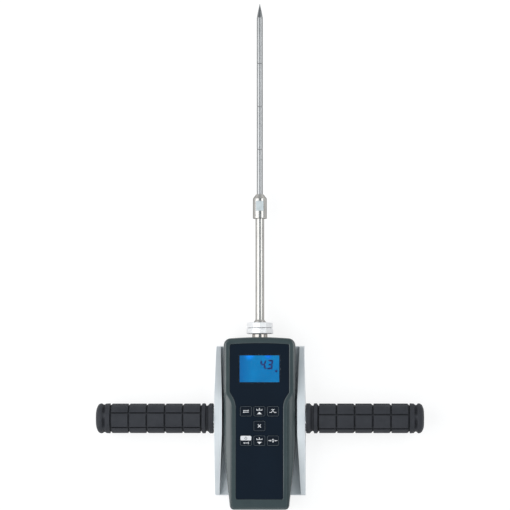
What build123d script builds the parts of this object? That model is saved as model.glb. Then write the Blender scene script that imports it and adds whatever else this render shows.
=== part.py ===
"""Soil bearing capacity tester: a digital force gauge in a two-handled bracket, with a cone-tipped probe.

The tester lies on its back. X runs along the handles, Y along the probe towards its tip and Z out of the
gauge's face. The origin is the centre of the back plate's rear face. Sizes are in millimetres.
"""

import math
import os

from build123d import *

os.makedirs("parts", exist_ok=True)

# Fits
moving_gap = 0.3  # between a piece that moves and the pieces round it
turning_gap = 0.08  # on the radius, between a hand nut and the rod that it turns on
slip_gap = 0.1  # between fixed pieces that slip together

# Common axis of the probe and the handles, above the back plate's rear face
axis_height = 24.0

# Casing, seen from the front
casing_top_y = 92.9
casing_length = 197.3
casing_crown = 2.0
casing_half = 41.0
taper_half = 38.2
taper_y = -59.0
foot_half = 33.4
top_corner = 8.0
bottom_corner = 5.0

# Casing, seen from the side
body_depth = 37.2
bezel_rise = 1.0
wall = 2.5
shoulder_round = 12.0
bezel_chamfer = 3.0
rear_chamfer = 2.0

# Front panel
panel_top_y = 85.8
panel_bottom_y = -92.3
panel_crown = 1.2
panel_upper_half = 34.0
panel_lower_half = 27.0
panel_shoulder_y = 29.8
panel_slant = 33.0
panel_throat_round = 25.0
panel_shoulder_round = 3.0
panel_corner = 2.0
panel_thickness = 1.0
panel_recess = 0.6
rim_width = 4.6

# Display
display_y = 56.6
display_width = 45.4
display_height = 30.6
window_ledge = 0.8
lcd_frame = 3.3
lcd_glass = 1.9

# Keys
key_width = 13.6
key_height = 11.9
key_corner = 1.3
key_column_pitch = 15.45
key_row_pitch = 16.75
key_top_row_y = 8.0
key_travel = 0.5
key_stand = 0.3
key_lip = 1.2
key_lip_height = 0.9

# Circuit board and its switches
board_width = 66.0
board_length = 118.0
board_y = 18.0
board_thickness = 1.6
board_post = 6.0
switch_side = 6.0
switch_height = 2.1

# Load cell, its anchor and the battery pack
anchor_bottom_y = 13.0
anchor_height = 16.0
anchor_half_width = 27.0
cell_width = 42.0
cell_height = 48.0
cell_slot = 3.0
cell_slot_inset = 11.0
cell_window = 13.0
board_clearance = 2.0
battery_width = 58.0
battery_length = 48.0
battery_depth = 15.0
battery_inset = 15.9

# Probe
neck_radius = 8.7
neck_length = 4.0
shaft_socket_depth = 11.0
lower_nut_radius = 15.4
lower_nut_height = 6.4
upper_nut_radius = 14.9
upper_nut_height = 6.2
nut_sides = 12
nut_chamfer = 0.7
nut_gap = 0.3
flare_radius = 6.9
flare_height = 2.8
extension_radius = 5.0
extension_length = 117.2
coupling_radius = 8.0
coupling_length = 28.0
coupling_cone_length = 4.9
coupling_cone_radius = 4.4
coupling_socket = 13.0
coupling_flat = 6.75
coupling_flat_length = 11.6
coupling_flat_start = 8.6
probe_radius = 3.5
probe_length = 206.0
ring_first = 70.0
ring_pitch = 50.0
ring_count = 3
ring_width = 1.0
ring_depth = 0.3
cone_length = 16.2

# Bracket
plate_thickness = 5.0
bracket_length = 171.6
bracket_middle_y = -2.6
casing_gap = 2.2
cheek_middle_thickness = 8.8
cheek_top_thickness = 5.0
cheek_bottom_thickness = 5.0
cheek_top_draw = 1.3
cheek_flat_top_y = 21.0
cheek_flat_bottom_y = -18.5
cheek_middle_front = 38.5
cheek_top_front = 13.0
cheek_bottom_front = 12.0
cheek_end_round = 3.0
plate_chamfer = 0.6

# Handles
washer_thickness = 1.1
washer_radius = 15.0
bar_radius = 11.0
bar_stud_radius = 5.0
grip_length = 135.6
grip_radius = 17.3
grip_end_wall = 4.0
grip_flange_length = 5.0
grip_collar_length = 3.8
grip_cap_length = 7.4
grip_cap_round = 2.8
grip_vee = 3.6
grip_vee_depth = 2.3
grip_notch = 2.6
grip_notch_depth = 1.5
grip_row_count = 5

# Heights worked out from the sizes above
rear_floor = plate_thickness + wall
body_front = plate_thickness + body_depth
bezel_front = body_front + bezel_rise
panel_front = bezel_front - panel_recess
panel_back = panel_front - panel_thickness
cavity_front = body_front - wall
key_back = cavity_front - moving_gap - key_lip_height
board_front = key_back - key_travel - moving_gap - switch_height
board_back = board_front - board_thickness
cell_half_depth = board_back - board_clearance - axis_height

# Places along the casing and the probe
casing_bottom_y = casing_top_y - casing_length
battery_y = casing_bottom_y + wall + battery_inset + battery_length / 2
cell_bottom_y = anchor_bottom_y + anchor_height
cell_top_y = cell_bottom_y + cell_height
neck_top_y = casing_top_y + neck_length
rod_foot_y = neck_top_y - shaft_socket_depth
lower_nut_y = neck_top_y + nut_gap
upper_nut_y = lower_nut_y + lower_nut_height + nut_gap
flare_y = upper_nut_y + upper_nut_height + nut_gap
coupling_y = flare_y + flare_height + extension_length
coupling_top_y = coupling_y + coupling_length
cone_base_y = coupling_top_y + probe_length
tip_y = cone_base_y + cone_length

# Places across the bracket and the handles
cheek_inside = casing_half + casing_gap
cheek_outside = cheek_inside + cheek_middle_thickness
bracket_top_y = bracket_middle_y + bracket_length / 2
bracket_bottom_y = bracket_middle_y - bracket_length / 2
bar_start = cheek_outside + washer_thickness
grip_start = bar_start + slip_gap
bar_end = grip_start + grip_length - grip_end_wall - slip_gap

# Shared planes and axes
probe_axis = Axis((0, 0, axis_height), (0, 1, 0))
handle_axis = Axis((0, 0, axis_height), (1, 0, 0))
profile_plane = Plane.XY.offset(axis_height)
probe_plane = Plane(origin=(0, 0, axis_height), x_dir=(1, 0, 0), z_dir=(0, 1, 0))
handle_plane = Plane(origin=(0, 0, axis_height), x_dir=(0, 1, 0), z_dir=(1, 0, 0))

# Places of the keys: three columns, with the middle row's side places left empty
middle_row_y = key_top_row_y - key_row_pitch
bottom_row_y = middle_row_y - key_row_pitch
key_places = {
    "key_unit": (-key_column_pitch, key_top_row_y),
    "key_up": (0, key_top_row_y),
    "key_peak": (key_column_pitch, key_top_row_y),
    "key_delete": (0, middle_row_y),
    "key_power": (-key_column_pitch, bottom_row_y),
    "key_down": (0, bottom_row_y),
    "key_zero": (key_column_pitch, bottom_row_y),
}


def save(piece, name):
    """Labels a finished piece and writes it as one file."""
    piece.part.label = name
    export_step(piece.part, f"parts/{name}.step")


def casing_outline(inset):
    """Plan outline of the casing, drawn in by inset from its outer wall."""
    half = casing_half - inset
    foot = foot_half - inset
    corner_y = casing_top_y - inset - casing_crown
    foot_y = casing_bottom_y + inset
    knee = (taper_half - inset, taper_y)
    taper_angle = math.atan((knee[0] - foot) / (taper_y - foot_y))
    bend_y = taper_y + (casing_half - taper_half) / math.tan(taper_angle / 2)
    with BuildSketch() as outline:
        with BuildLine():
            ThreePointArc((-half, corner_y), (0, casing_top_y - inset), (half, corner_y))
            side = Line((half, corner_y), (half, bend_y))
            bend = TangentArc((half, bend_y), knee, tangent=(0, -1))
            taper = Line(knee, (foot, foot_y))
            mirror([side, bend, taper], about=Plane.YZ)
            Line((foot, foot_y), (-foot, foot_y))
        make_face()
        fillet(outline.vertices().sort_by(Axis.Y)[-2:], top_corner - inset)
        fillet(outline.vertices().sort_by(Axis.Y)[:2], bottom_corner - inset)
    return outline.sketch


def throat(grow):
    """Place where the panel's slant meets its narrow lower part, with the outline grown by grow."""
    slant_drop = (panel_upper_half - panel_lower_half) / math.tan(math.radians(panel_slant))
    mitre = grow * math.tan(math.radians(panel_slant / 2))
    return panel_lower_half + grow, panel_shoulder_y - slant_drop - mitre


def panel_outline(grow):
    """Keyhole-shaped plan outline of the front panel, grown by grow."""
    upper = panel_upper_half + grow
    lower, throat_y = throat(grow)
    top = panel_top_y + grow
    bottom = panel_bottom_y - grow
    shoulder_y = panel_shoulder_y - grow * math.tan(math.radians(panel_slant / 2))
    with BuildSketch() as outline:
        with BuildLine():
            ThreePointArc((-upper, top - panel_crown), (0, top), (upper, top - panel_crown))
            side = Polyline(
                (upper, top - panel_crown),
                (upper, shoulder_y),
                (lower, throat_y),
                (lower, bottom),
            )
            mirror(side, about=Plane.YZ)
            Line((lower, bottom), (-lower, bottom))
        make_face()
        corners = outline.vertices().group_by(Axis.Y)
        fillet(corners[0] + corners[-1], panel_corner)
        fillet(outline.vertices().filter_by(lambda v: abs(v.Y - shoulder_y) < 1e-6), panel_shoulder_round)
        fillet(outline.vertices().filter_by(lambda v: abs(v.Y - throat_y) < 1e-6), panel_throat_round)
    return outline.sketch


def loaf_section(radius, front):
    """Cross-section of the casing's lower half: flat in front and rounded over at both sides."""
    crease = panel_lower_half + rim_width
    with BuildSketch() as section:
        with BuildLine():
            shoulder = CenterArc((crease, front - radius), radius, 0, 90)
            flank = Line(shoulder @ 0, ((shoulder @ 0).X, 0))
            mirror([shoulder, flank], about=Plane.YZ)
            Line((crease, front), (-crease, front))
            Line(flank @ 1, (-(flank @ 1).X, 0))
        make_face()
    return section.sketch


def key_outline(grow):
    """Plan outline of a key cap with its corners taken off, grown by grow."""
    with BuildSketch() as outline:
        Rectangle(key_width + 2 * grow, key_height + 2 * grow)
        chamfer(outline.vertices(), key_corner)
    return outline.sketch


def grip_form():
    """Half-section of a grip, from its inner end outwards along the bar."""
    valley = grip_radius - grip_vee_depth
    notch = grip_radius - grip_notch_depth
    collar_start = grip_flange_length + grip_vee
    rows_start = collar_start + grip_collar_length + grip_notch
    cap_start = grip_length - grip_cap_length
    collar_end = cap_start - grip_vee
    rows_end = collar_end - grip_collar_length - grip_notch
    row_pitch = (rows_end - rows_start) / grip_row_count
    points = [
        (0, bar_radius + slip_gap),
        (0, grip_radius),
        (grip_flange_length, grip_radius),
        (grip_flange_length + grip_vee / 2, valley),
        (collar_start, grip_radius),
        (collar_start + grip_collar_length, grip_radius),
    ]
    for row in range(grip_row_count):
        start = rows_start + row * row_pitch
        points += [(start, notch), (start, grip_radius), (start + row_pitch - grip_notch, grip_radius)]
    points += [
        (rows_end, notch),
        (rows_end + grip_notch, grip_radius),
        (collar_end, grip_radius),
        (collar_end + grip_vee / 2, valley),
        (cap_start, grip_radius),
        (grip_length - grip_cap_round, grip_radius),
        (grip_length, grip_radius - grip_cap_round),
        (grip_length, 0),
        (grip_length - grip_end_wall, 0),
        (grip_length - grip_end_wall, bar_radius + slip_gap),
    ]
    return [(grip_start + along, out) for along, out in points]


def make_nut(start, height, radius):
    """Many-sided hand nut on the rod, chamfered at both rims."""
    with BuildPart() as nut:
        with BuildSketch(probe_plane.offset(start)):
            RegularPolygon(radius, nut_sides)
        extrude(amount=height)
        rims = nut.edges().group_by(Axis.Y)
        chamfer(rims[0] + rims[-1], nut_chamfer)
        with BuildSketch(probe_plane.offset(start)):
            Circle(extension_radius + turning_gap)
        extrude(amount=height, mode=Mode.SUBTRACT)
    return nut.part


# Back plate: flat aluminium plate that closes the rear of the bracket
with BuildPart() as back_plate:
    with BuildSketch():
        with BuildLine():
            edge = Polyline(
                (cheek_outside - cheek_top_draw, bracket_top_y),
                (cheek_outside, cheek_flat_top_y),
                (cheek_outside, bracket_bottom_y),
            )
            mirror(edge, about=Plane.YZ)
            Line(edge @ 0, (-(edge @ 0).X, bracket_top_y))
            Line(edge @ 1, (-(edge @ 1).X, bracket_bottom_y))
        make_face()
    extrude(amount=plate_thickness)
    chamfer(back_plate.edges().group_by(Axis.Z)[0], plate_chamfer)
save(back_plate, "back_plate")

# Cheeks: aluminium side plates, thick at the handle and thinning towards both ends
with BuildPart() as right_cheek:
    with BuildSketch(Plane.XY.offset(plate_thickness)):
        with BuildLine():
            Polyline(
                (cheek_outside - cheek_top_draw, bracket_top_y),
                (cheek_outside, cheek_flat_top_y),
                (cheek_outside, bracket_bottom_y),
                (cheek_outside - cheek_bottom_thickness, bracket_bottom_y),
                (cheek_inside, cheek_flat_bottom_y),
                (cheek_inside, cheek_flat_top_y),
                (cheek_outside - cheek_top_draw - cheek_top_thickness, bracket_top_y),
                close=True,
            )
        make_face()
    extrude(amount=cheek_middle_front - plate_thickness)
    with BuildSketch(Plane.YZ):
        with BuildLine():
            Polyline(
                (bracket_bottom_y, 0),
                (bracket_bottom_y, cheek_bottom_front),
                (cheek_flat_bottom_y, cheek_middle_front),
                (cheek_flat_top_y, cheek_middle_front),
                (bracket_top_y, cheek_top_front),
                (bracket_top_y, 0),
                close=True,
            )
        make_face()
    extrude(amount=cheek_outside, mode=Mode.INTERSECT)
    front_ends = right_cheek.edges().filter_by(Axis.X).sort_by(Axis.Z).group_by(Axis.Y)
    fillet(front_ends[0][-1:] + front_ends[-1][-1:], cheek_end_round)
    with BuildSketch(handle_plane.offset(cheek_inside)):
        Circle(bar_stud_radius + slip_gap)
    extrude(amount=cheek_middle_thickness, mode=Mode.SUBTRACT)
save(right_cheek, "right_cheek")

with BuildPart() as left_cheek:
    mirror(right_cheek.part, about=Plane.YZ)
save(left_cheek, "left_cheek")

# Handles: bars with the studs that hold them in the cheeks and a washer at the root, and rubber grips
with BuildPart() as handle_bars:
    with BuildSketch(profile_plane):
        with BuildLine():
            Polyline(
                (cheek_inside, 0),
                (cheek_inside, bar_stud_radius),
                (cheek_outside, bar_stud_radius),
                (cheek_outside, washer_radius),
                (bar_start, washer_radius),
                (bar_start, bar_radius),
                (bar_end, bar_radius),
                (bar_end, 0),
                close=True,
            )
        make_face()
    revolve(axis=handle_axis)
    mirror(about=Plane.YZ)
save(handle_bars, "handle_bars")

with BuildPart() as grips:
    with BuildSketch(profile_plane):
        with BuildLine():
            Polyline(*grip_form(), close=True)
        make_face()
    revolve(axis=handle_axis)
    mirror(about=Plane.YZ)
save(grips, "grips")

# Rear shell: moulded half that lies on the back plate
with BuildPart() as rear_shell:
    with BuildSketch(Plane.XY.offset(plate_thickness)):
        add(casing_outline(0))
    extrude(amount=axis_height - plate_thickness)
    chamfer(rear_shell.edges().group_by(Axis.Z)[0], rear_chamfer)
    with BuildSketch(Plane.XY.offset(rear_floor)):
        add(casing_outline(wall))
    extrude(amount=axis_height - rear_floor, mode=Mode.SUBTRACT)
    with BuildSketch(probe_plane.offset(casing_top_y - 2 * wall)):
        Circle(neck_radius + moving_gap)
    extrude(amount=2 * wall, mode=Mode.SUBTRACT)
save(rear_shell, "rear_shell")

# Shoulder cutter: what is taken off the front shell beside the lower part of the panel's rim
crease_half, crease_y = throat(rim_width)
cutter_reach = casing_half + shoulder_round
cutter_run = (cutter_reach - crease_half) / math.tan(math.radians(panel_slant))
with BuildPart() as shoulder_cutter:
    with BuildSketch(Plane.XY.offset(axis_height)) as cutter_plan:
        with BuildLine():
            Polyline(
                (crease_half, casing_bottom_y - wall),
                (crease_half, crease_y),
                (cutter_reach, crease_y + cutter_run),
                (cutter_reach, casing_bottom_y - wall),
                close=True,
            )
        make_face()
        bend = cutter_plan.vertices().filter_by(lambda v: abs(v.Y - crease_y) < 1e-6)
        fillet(bend, panel_throat_round - rim_width)
        mirror(about=Plane.YZ)
    extrude(amount=bezel_front - axis_height)
    with BuildSketch(Plane.XZ.offset(-casing_top_y)):
        add(loaf_section(shoulder_round, body_front))
    extrude(amount=casing_length + wall, mode=Mode.SUBTRACT)

# Space inside the front shell, a wall's thickness in from its outer faces
with BuildPart() as front_cavity:
    with BuildSketch(Plane.XY.offset(axis_height)):
        add(casing_outline(wall))
    extrude(amount=cavity_front - axis_height)
    with BuildSketch(Plane.XZ.offset(-casing_top_y)):
        add(loaf_section(shoulder_round - wall, cavity_front))
    extrude(amount=casing_length, mode=Mode.INTERSECT)

# Front shell: moulded half with a raised rim round the panel and rounded shoulders beside the keys
with BuildPart() as front_shell:
    with BuildSketch(Plane.XY.offset(axis_height)):
        add(casing_outline(0))
    extrude(amount=bezel_front - axis_height)
    chamfer(front_shell.edges().group_by(Axis.Z)[-1], bezel_chamfer)
    add(shoulder_cutter.part, mode=Mode.SUBTRACT)
    add(front_cavity.part, mode=Mode.SUBTRACT)
    with BuildSketch(Plane.XY.offset(board_front)):
        with Locations((0, board_y)):
            with GridLocations(board_width - board_post, board_length - board_post, 2, 2):
                Rectangle(board_post, board_post)
    extrude(amount=cavity_front - board_front)
    with BuildSketch(Plane.XY.offset(panel_back)):
        add(panel_outline(slip_gap))
    extrude(amount=bezel_front - panel_back, mode=Mode.SUBTRACT)
    with BuildSketch(Plane.XY.offset(cavity_front)):
        with Locations((0, display_y)):
            Rectangle(display_width, display_height)
        with Locations(*key_places.values()):
            Rectangle(key_width + 2 * moving_gap, key_height + 2 * moving_gap)
    extrude(amount=panel_back - cavity_front, mode=Mode.SUBTRACT)
    with BuildSketch(probe_plane.offset(casing_top_y - 2 * wall)):
        Circle(neck_radius + moving_gap)
    extrude(amount=2 * wall, mode=Mode.SUBTRACT)
save(front_shell, "front_shell")

# Gloss front panel with holes for the window and the keys
with BuildPart() as overlay_panel:
    with BuildSketch(Plane.XY.offset(panel_back)):
        add(panel_outline(0))
        with Locations((0, display_y)):
            Rectangle(
                display_width + 2 * (window_ledge + slip_gap),
                display_height + 2 * (window_ledge + slip_gap),
                mode=Mode.SUBTRACT,
            )
        with Locations(*key_places.values()):
            add(key_outline(moving_gap), mode=Mode.SUBTRACT)
    extrude(amount=panel_thickness)
save(overlay_panel, "overlay_panel")

# Clear window, on the ledge round the display's opening
with BuildPart() as display_window:
    with BuildSketch(Plane.XY.offset(panel_back)):
        with Locations((0, display_y)):
            Rectangle(display_width + 2 * window_ledge, display_height + 2 * window_ledge)
    extrude(amount=panel_thickness)
save(display_window, "display_window")

# Display module: a framed block on the board with its glass raised into the window's opening
with BuildPart() as lcd_module:
    with BuildSketch(Plane.XY.offset(board_front)):
        with Locations((0, display_y)):
            Rectangle(display_width + 2 * lcd_frame, display_height + 2 * lcd_frame)
    extrude(amount=cavity_front - moving_gap - board_front)
    with BuildSketch(Plane.XY.offset(cavity_front - moving_gap)):
        with Locations((0, display_y)):
            Rectangle(display_width - 2 * moving_gap, display_height - 2 * moving_gap)
    extrude(amount=lcd_glass)
save(lcd_module, "lcd_module")

# Keys: caps that run in the panel and the front wall, with lips behind the wall above and below
for name, place in key_places.items():
    with BuildPart() as key:
        with BuildSketch(Plane.XY.offset(key_back)):
            with Locations(place):
                add(key_outline(0))
        extrude(amount=panel_front + key_stand - key_back)
        with BuildSketch(Plane.XY.offset(key_back)):
            with Locations(place):
                Rectangle(key_width - 2 * key_corner, key_height + 2 * key_lip)
        extrude(amount=key_lip_height)
    save(key, name)

# Circuit board on the front shell's posts, with one switch under each key
with BuildPart() as main_board:
    with BuildSketch(Plane.XY.offset(board_back)):
        with Locations((0, board_y)):
            Rectangle(board_width, board_length)
    extrude(amount=board_thickness)
save(main_board, "main_board")

with BuildPart() as tact_switches:
    with BuildSketch(Plane.XY.offset(board_front)):
        with Locations(*key_places.values()):
            Rectangle(switch_side, switch_side)
    extrude(amount=switch_height)
save(tact_switches, "tact_switches")

# Battery pack on the rear shell's floor
with BuildPart() as battery_pack:
    with BuildSketch(Plane.XY.offset(rear_floor)):
        with Locations((0, battery_y)):
            Rectangle(battery_width, battery_length)
    extrude(amount=battery_depth)
save(battery_pack, "battery_pack")

# Anchor block: holds the load cell against the rear shell's floor
with BuildPart() as anchor_block:
    with BuildSketch(Plane.XY.offset(rear_floor)):
        with Locations((0, anchor_bottom_y + anchor_height / 2)):
            Rectangle(2 * anchor_half_width, anchor_height)
    extrude(amount=axis_height + cell_half_depth - rear_floor)
save(anchor_block, "anchor_block")

# Load cell: S-shaped block that bends under the probe's push
with BuildPart() as load_cell:
    with BuildSketch(Plane.XY.offset(axis_height - cell_half_depth)):
        with Locations((0, cell_bottom_y + cell_height / 2)):
            Rectangle(cell_width, cell_height)
            Rectangle(cell_window, cell_window, mode=Mode.SUBTRACT)
        with Locations((cell_slot_inset, cell_bottom_y + cell_slot_inset)):
            Rectangle(cell_width, cell_slot, mode=Mode.SUBTRACT)
        with Locations((-cell_slot_inset, cell_top_y - cell_slot_inset)):
            Rectangle(cell_width, cell_slot, mode=Mode.SUBTRACT)
    extrude(amount=2 * cell_half_depth)
save(load_cell, "load_cell")

# Load shaft: chromed neck from the load cell out through the casing, with a socket for the rod
with BuildPart() as load_shaft:
    with BuildSketch(probe_plane.offset(cell_top_y)):
        Circle(neck_radius)
    extrude(amount=neck_top_y - cell_top_y)
    with BuildSketch(probe_plane.offset(rod_foot_y)):
        Circle(extension_radius + slip_gap)
    extrude(amount=shaft_socket_depth, mode=Mode.SUBTRACT)
save(load_shaft, "load_shaft")

# Hand nuts, one above the other on the rod's threaded foot
with BuildPart() as lower_lock_nut:
    add(make_nut(lower_nut_y, lower_nut_height, lower_nut_radius))
save(lower_lock_nut, "lower_lock_nut")

with BuildPart() as upper_lock_nut:
    add(make_nut(upper_nut_y, upper_nut_height, upper_nut_radius))
save(upper_lock_nut, "upper_lock_nut")

# Extension rod, from the shaft's socket through both nuts to the coupling, with a flared shoulder
with BuildPart() as extension_rod:
    with BuildSketch(profile_plane):
        with BuildLine():
            Polyline(
                (0, rod_foot_y),
                (extension_radius, rod_foot_y),
                (extension_radius, flare_y),
                (flare_radius, flare_y),
                (extension_radius, flare_y + flare_height),
                (extension_radius, coupling_y + coupling_socket),
                (0, coupling_y + coupling_socket),
                close=True,
            )
        make_face()
    revolve(axis=probe_axis)
save(extension_rod, "extension_rod")

# Coupling between the two rods, with wrench flats on the front and the back
with BuildPart() as rod_coupling:
    with BuildSketch(profile_plane):
        with BuildLine():
            Polyline(
                (0, coupling_y + coupling_socket),
                (extension_radius + slip_gap, coupling_y + coupling_socket),
                (extension_radius + slip_gap, coupling_y),
                (coupling_radius, coupling_y),
                (coupling_radius, coupling_top_y - coupling_cone_length),
                (coupling_cone_radius, coupling_top_y),
                (probe_radius + slip_gap, coupling_top_y),
                (probe_radius + slip_gap, coupling_top_y - coupling_socket),
                (0, coupling_top_y - coupling_socket),
                close=True,
            )
        make_face()
    revolve(axis=probe_axis)
    with BuildSketch(probe_plane.offset(coupling_y + coupling_flat_start)):
        for way in (-1, 1):
            with Locations((0, way * (coupling_flat + coupling_radius))):
                Rectangle(2 * coupling_radius, 2 * coupling_radius)
    extrude(amount=coupling_flat_length, mode=Mode.SUBTRACT)
save(rod_coupling, "rod_coupling")

# Probe rod with engraved depth rings, counted from the tip
ring_points = []
for ring in reversed(range(ring_count)):
    ring_y = tip_y - ring_first - ring * ring_pitch
    ring_points += [
        (probe_radius, ring_y - ring_width / 2),
        (probe_radius - ring_depth, ring_y),
        (probe_radius, ring_y + ring_width / 2),
    ]
with BuildPart() as probe_rod:
    with BuildSketch(profile_plane):
        with BuildLine():
            Polyline(
                (0, coupling_top_y - coupling_socket),
                (probe_radius, coupling_top_y - coupling_socket),
                *ring_points,
                (probe_radius, cone_base_y),
                (0, cone_base_y),
                close=True,
            )
        make_face()
    revolve(axis=probe_axis)
save(probe_rod, "probe_rod")

# Cone tip, brazed to the end of the rod
with BuildPart() as cone_tip:
    with BuildSketch(profile_plane):
        with BuildLine():
            Polyline((0, tip_y), (probe_radius, cone_base_y), (0, cone_base_y), close=True)
        make_face()
    revolve(axis=probe_axis)
save(cone_tip, "cone_tip")
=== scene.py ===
"""Soil bearing capacity tester: how the bracket, the handles, the gauge and the probe look.

The sections follow the tester as it is put together on the bench. Sizes are in millimetres and are turned
into metres where a mesh is made. X runs along the handles, Y along the probe and Z out of the gauge's face.
"""

import math

import bmesh
import bpy
import numpy as np
from mathutils import Matrix, Vector


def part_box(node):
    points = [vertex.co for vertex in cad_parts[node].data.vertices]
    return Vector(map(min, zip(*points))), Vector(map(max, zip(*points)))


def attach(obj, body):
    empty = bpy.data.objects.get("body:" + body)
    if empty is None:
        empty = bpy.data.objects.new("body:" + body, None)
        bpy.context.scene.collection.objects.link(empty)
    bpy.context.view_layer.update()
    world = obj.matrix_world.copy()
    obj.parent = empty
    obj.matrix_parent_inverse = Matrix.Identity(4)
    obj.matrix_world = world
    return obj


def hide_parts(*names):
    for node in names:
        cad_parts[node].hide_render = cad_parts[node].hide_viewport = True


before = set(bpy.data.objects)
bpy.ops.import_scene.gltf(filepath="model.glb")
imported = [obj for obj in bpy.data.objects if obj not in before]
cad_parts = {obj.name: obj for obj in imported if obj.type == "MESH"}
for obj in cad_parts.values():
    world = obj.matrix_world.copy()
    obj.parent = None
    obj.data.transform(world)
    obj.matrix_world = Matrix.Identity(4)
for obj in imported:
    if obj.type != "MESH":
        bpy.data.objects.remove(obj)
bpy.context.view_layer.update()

# Back plate of the bracket: 5 mm aluminium sheet, blasted and satin anodised.
# It is sawn to the bracket's outline with all edges broken, and countersunk from behind
# for the screws of the cheeks and the gauge.
mm = 0.001


def node_box(node):
    """Lowest and highest corner of a solid, in millimetres."""
    low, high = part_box(node)
    return low / mm, high / mm


plate_low, plate_high = node_box("back_plate")
bracket_top_draw, bracket_shoulder_y = 1.3, 21.0
plate_edge = 0.5
cheek_screw_x, cheek_screw_pitch = 47.2, 62.0
gauge_screw_x, gauge_screw_pitch = 24.0, 90.0
screw_head_radius, screw_shank_radius, screw_head_depth = 4.0, 2.0, 2.4
screw_clearance, screw_facets = 0.12, 40
sink_start, sink_lip, sink_point = -1.0, 0.1, 0.8
weld_reach = 0.002
plain_crease = 30


def new_object(name, data):
    """Object in the scene that shows a mesh, a curve, a lamp or a camera."""
    thing = bpy.data.objects.new(name, data)
    bpy.context.scene.collection.objects.link(thing)
    return thing


def new_piece(name, points, faces):
    """Object with a mesh of points in millimetres and the faces between them."""
    mesh = bpy.data.meshes.new(name)
    mesh.from_pydata([[coordinate * mm for coordinate in point] for point in points], [], faces)
    return new_object(name, mesh)


def prism(outline, low, high):
    """Points and faces of a flat piece with an outline, between two heights."""
    count = len(outline)
    points = [(x, y, z) for z in (low, high) for x, y in outline]
    sides = [(k, (k + 1) % count, (k + 1) % count + count, k + count) for k in range(count)]
    return points, [range(count), range(count, 2 * count), *sides]


def made_plain(piece):
    """Mesh of a piece with its modifiers applied, which are then removed."""
    shown = piece.evaluated_get(bpy.context.evaluated_depsgraph_get())
    mesh = bpy.data.meshes.new_from_object(shown)
    piece.modifiers.clear()
    piece.data = mesh
    return mesh


def settle(piece, crease=plain_crease):
    """Makes a piece a closed mesh: doubles merged, faces outwards, sharp edges kept, flats shaded even."""
    mesh = made_plain(piece)
    if "custom_normal" in mesh.attributes:
        mesh.attributes.remove(mesh.attributes["custom_normal"])
    work = bmesh.new()
    work.from_mesh(mesh)
    bmesh.ops.remove_doubles(work, verts=work.verts, dist=weld_reach * mm)
    bmesh.ops.dissolve_degenerate(work, edges=work.edges, dist=weld_reach * mm)
    bmesh.ops.recalc_face_normals(work, faces=work.faces)
    work.to_mesh(mesh)
    work.free()
    mesh.shade_smooth()
    mesh.set_sharp_from_angle(angle=math.radians(crease))
    evened = piece.modifiers.new("Even", "WEIGHTED_NORMAL")
    evened.weight = 100
    evened.keep_sharp = True
    made_plain(piece)
    return piece


def bevel(piece, width, steps=3):
    """Rounds the edges of a piece where its faces meet at more than a slight angle."""
    rounding = piece.modifiers.new("Edges", "BEVEL")
    rounding.width = width * mm
    rounding.segments = steps
    rounding.limit_method = "ANGLE"
    rounding.angle_limit = math.radians(plain_crease)
    return piece


right_edge = [
    (plate_high.x - bracket_top_draw, plate_high.y), (plate_high.x, bracket_shoulder_y),
    (plate_high.x, plate_low.y)]
plate_outline = right_edge + [(-x, y) for x, y in reversed(right_edge)]
back_plate = new_piece("back_plate_sheet", *prism(plate_outline, plate_low.z, plate_high.z))
settle(bevel(back_plate, plate_edge))


def cut_away(piece, cutter):
    """Takes the volume of one piece out of another."""
    cut = piece.modifiers.new("Cut", "BOOLEAN")
    cut.operation = "DIFFERENCE"
    cut.solver = "EXACT"
    cut.object = cutter
    settle(piece)
    bpy.data.objects.remove(cutter)


def spin(path, sides):
    """Points (along, across, up) and faces of a turned piece, from a path of (along, radius)."""
    points, rings, faces = [], [], []
    for along, radius in path:
        count = sides if radius > 0 else 1
        rings.append(range(len(points), len(points) + count))
        angles = [2 * math.pi * step / count for step in range(count)]
        points += [(along, radius * math.cos(angle), radius * math.sin(angle)) for angle in angles]
    for near, far in zip(rings, rings[1:]):
        for step in range(sides):
            corners = [ring[turn % len(ring)] for ring, turn in (
                (near, step), (near, step + 1), (far, step + 1), (far, step))]
            faces.append(list(dict.fromkeys(corners)))
    return points, faces


sink_radius = screw_head_radius + screw_clearance
sink_path = [
    (sink_start, 0), (sink_start, sink_radius), (sink_lip, sink_radius),
    (screw_head_depth, screw_shank_radius + screw_clearance), (screw_head_depth + sink_point, 0)]
sink_points, sink_faces = spin(sink_path, screw_facets)
sink_places = [(way * cheek_screw_x, row * cheek_screw_pitch) for way in (-1, 1) for row in (-1, 0, 1)]
sink_places += [(way * gauge_screw_x, row * gauge_screw_pitch) for way in (-1, 1) for row in (-0.5, 0.5)]
for hole_x, hole_y in sink_places:
    sink = new_piece("countersink", [(hole_x + b, hole_y + c, a) for a, b, c in sink_points], sink_faces)
    cut_away(back_plate, settle(sink))


def set_inputs(node, inputs):
    """Gives each named input of a node a value or a link."""
    for name, value in inputs.items():
        if isinstance(value, bpy.types.NodeSocket):
            node.id_data.links.new(value, node.inputs[name])
        else:
            node.inputs[name].default_value = value


def add_node(tree, kind, inputs, give=0, **settings):
    """Adds a node with its settings and inputs, and returns its first output or the one asked for."""
    node = tree.nodes.new(kind)
    for name, value in settings.items():
        setattr(node, name, value)
    set_inputs(node, inputs)
    return node.outputs[give] if node.outputs else None


def figure(tree, operation, *values):
    """Result of one arithmetic step on numbers or links."""
    return add_node(tree, "ShaderNodeMath", dict(enumerate(values)), operation=operation)


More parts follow.
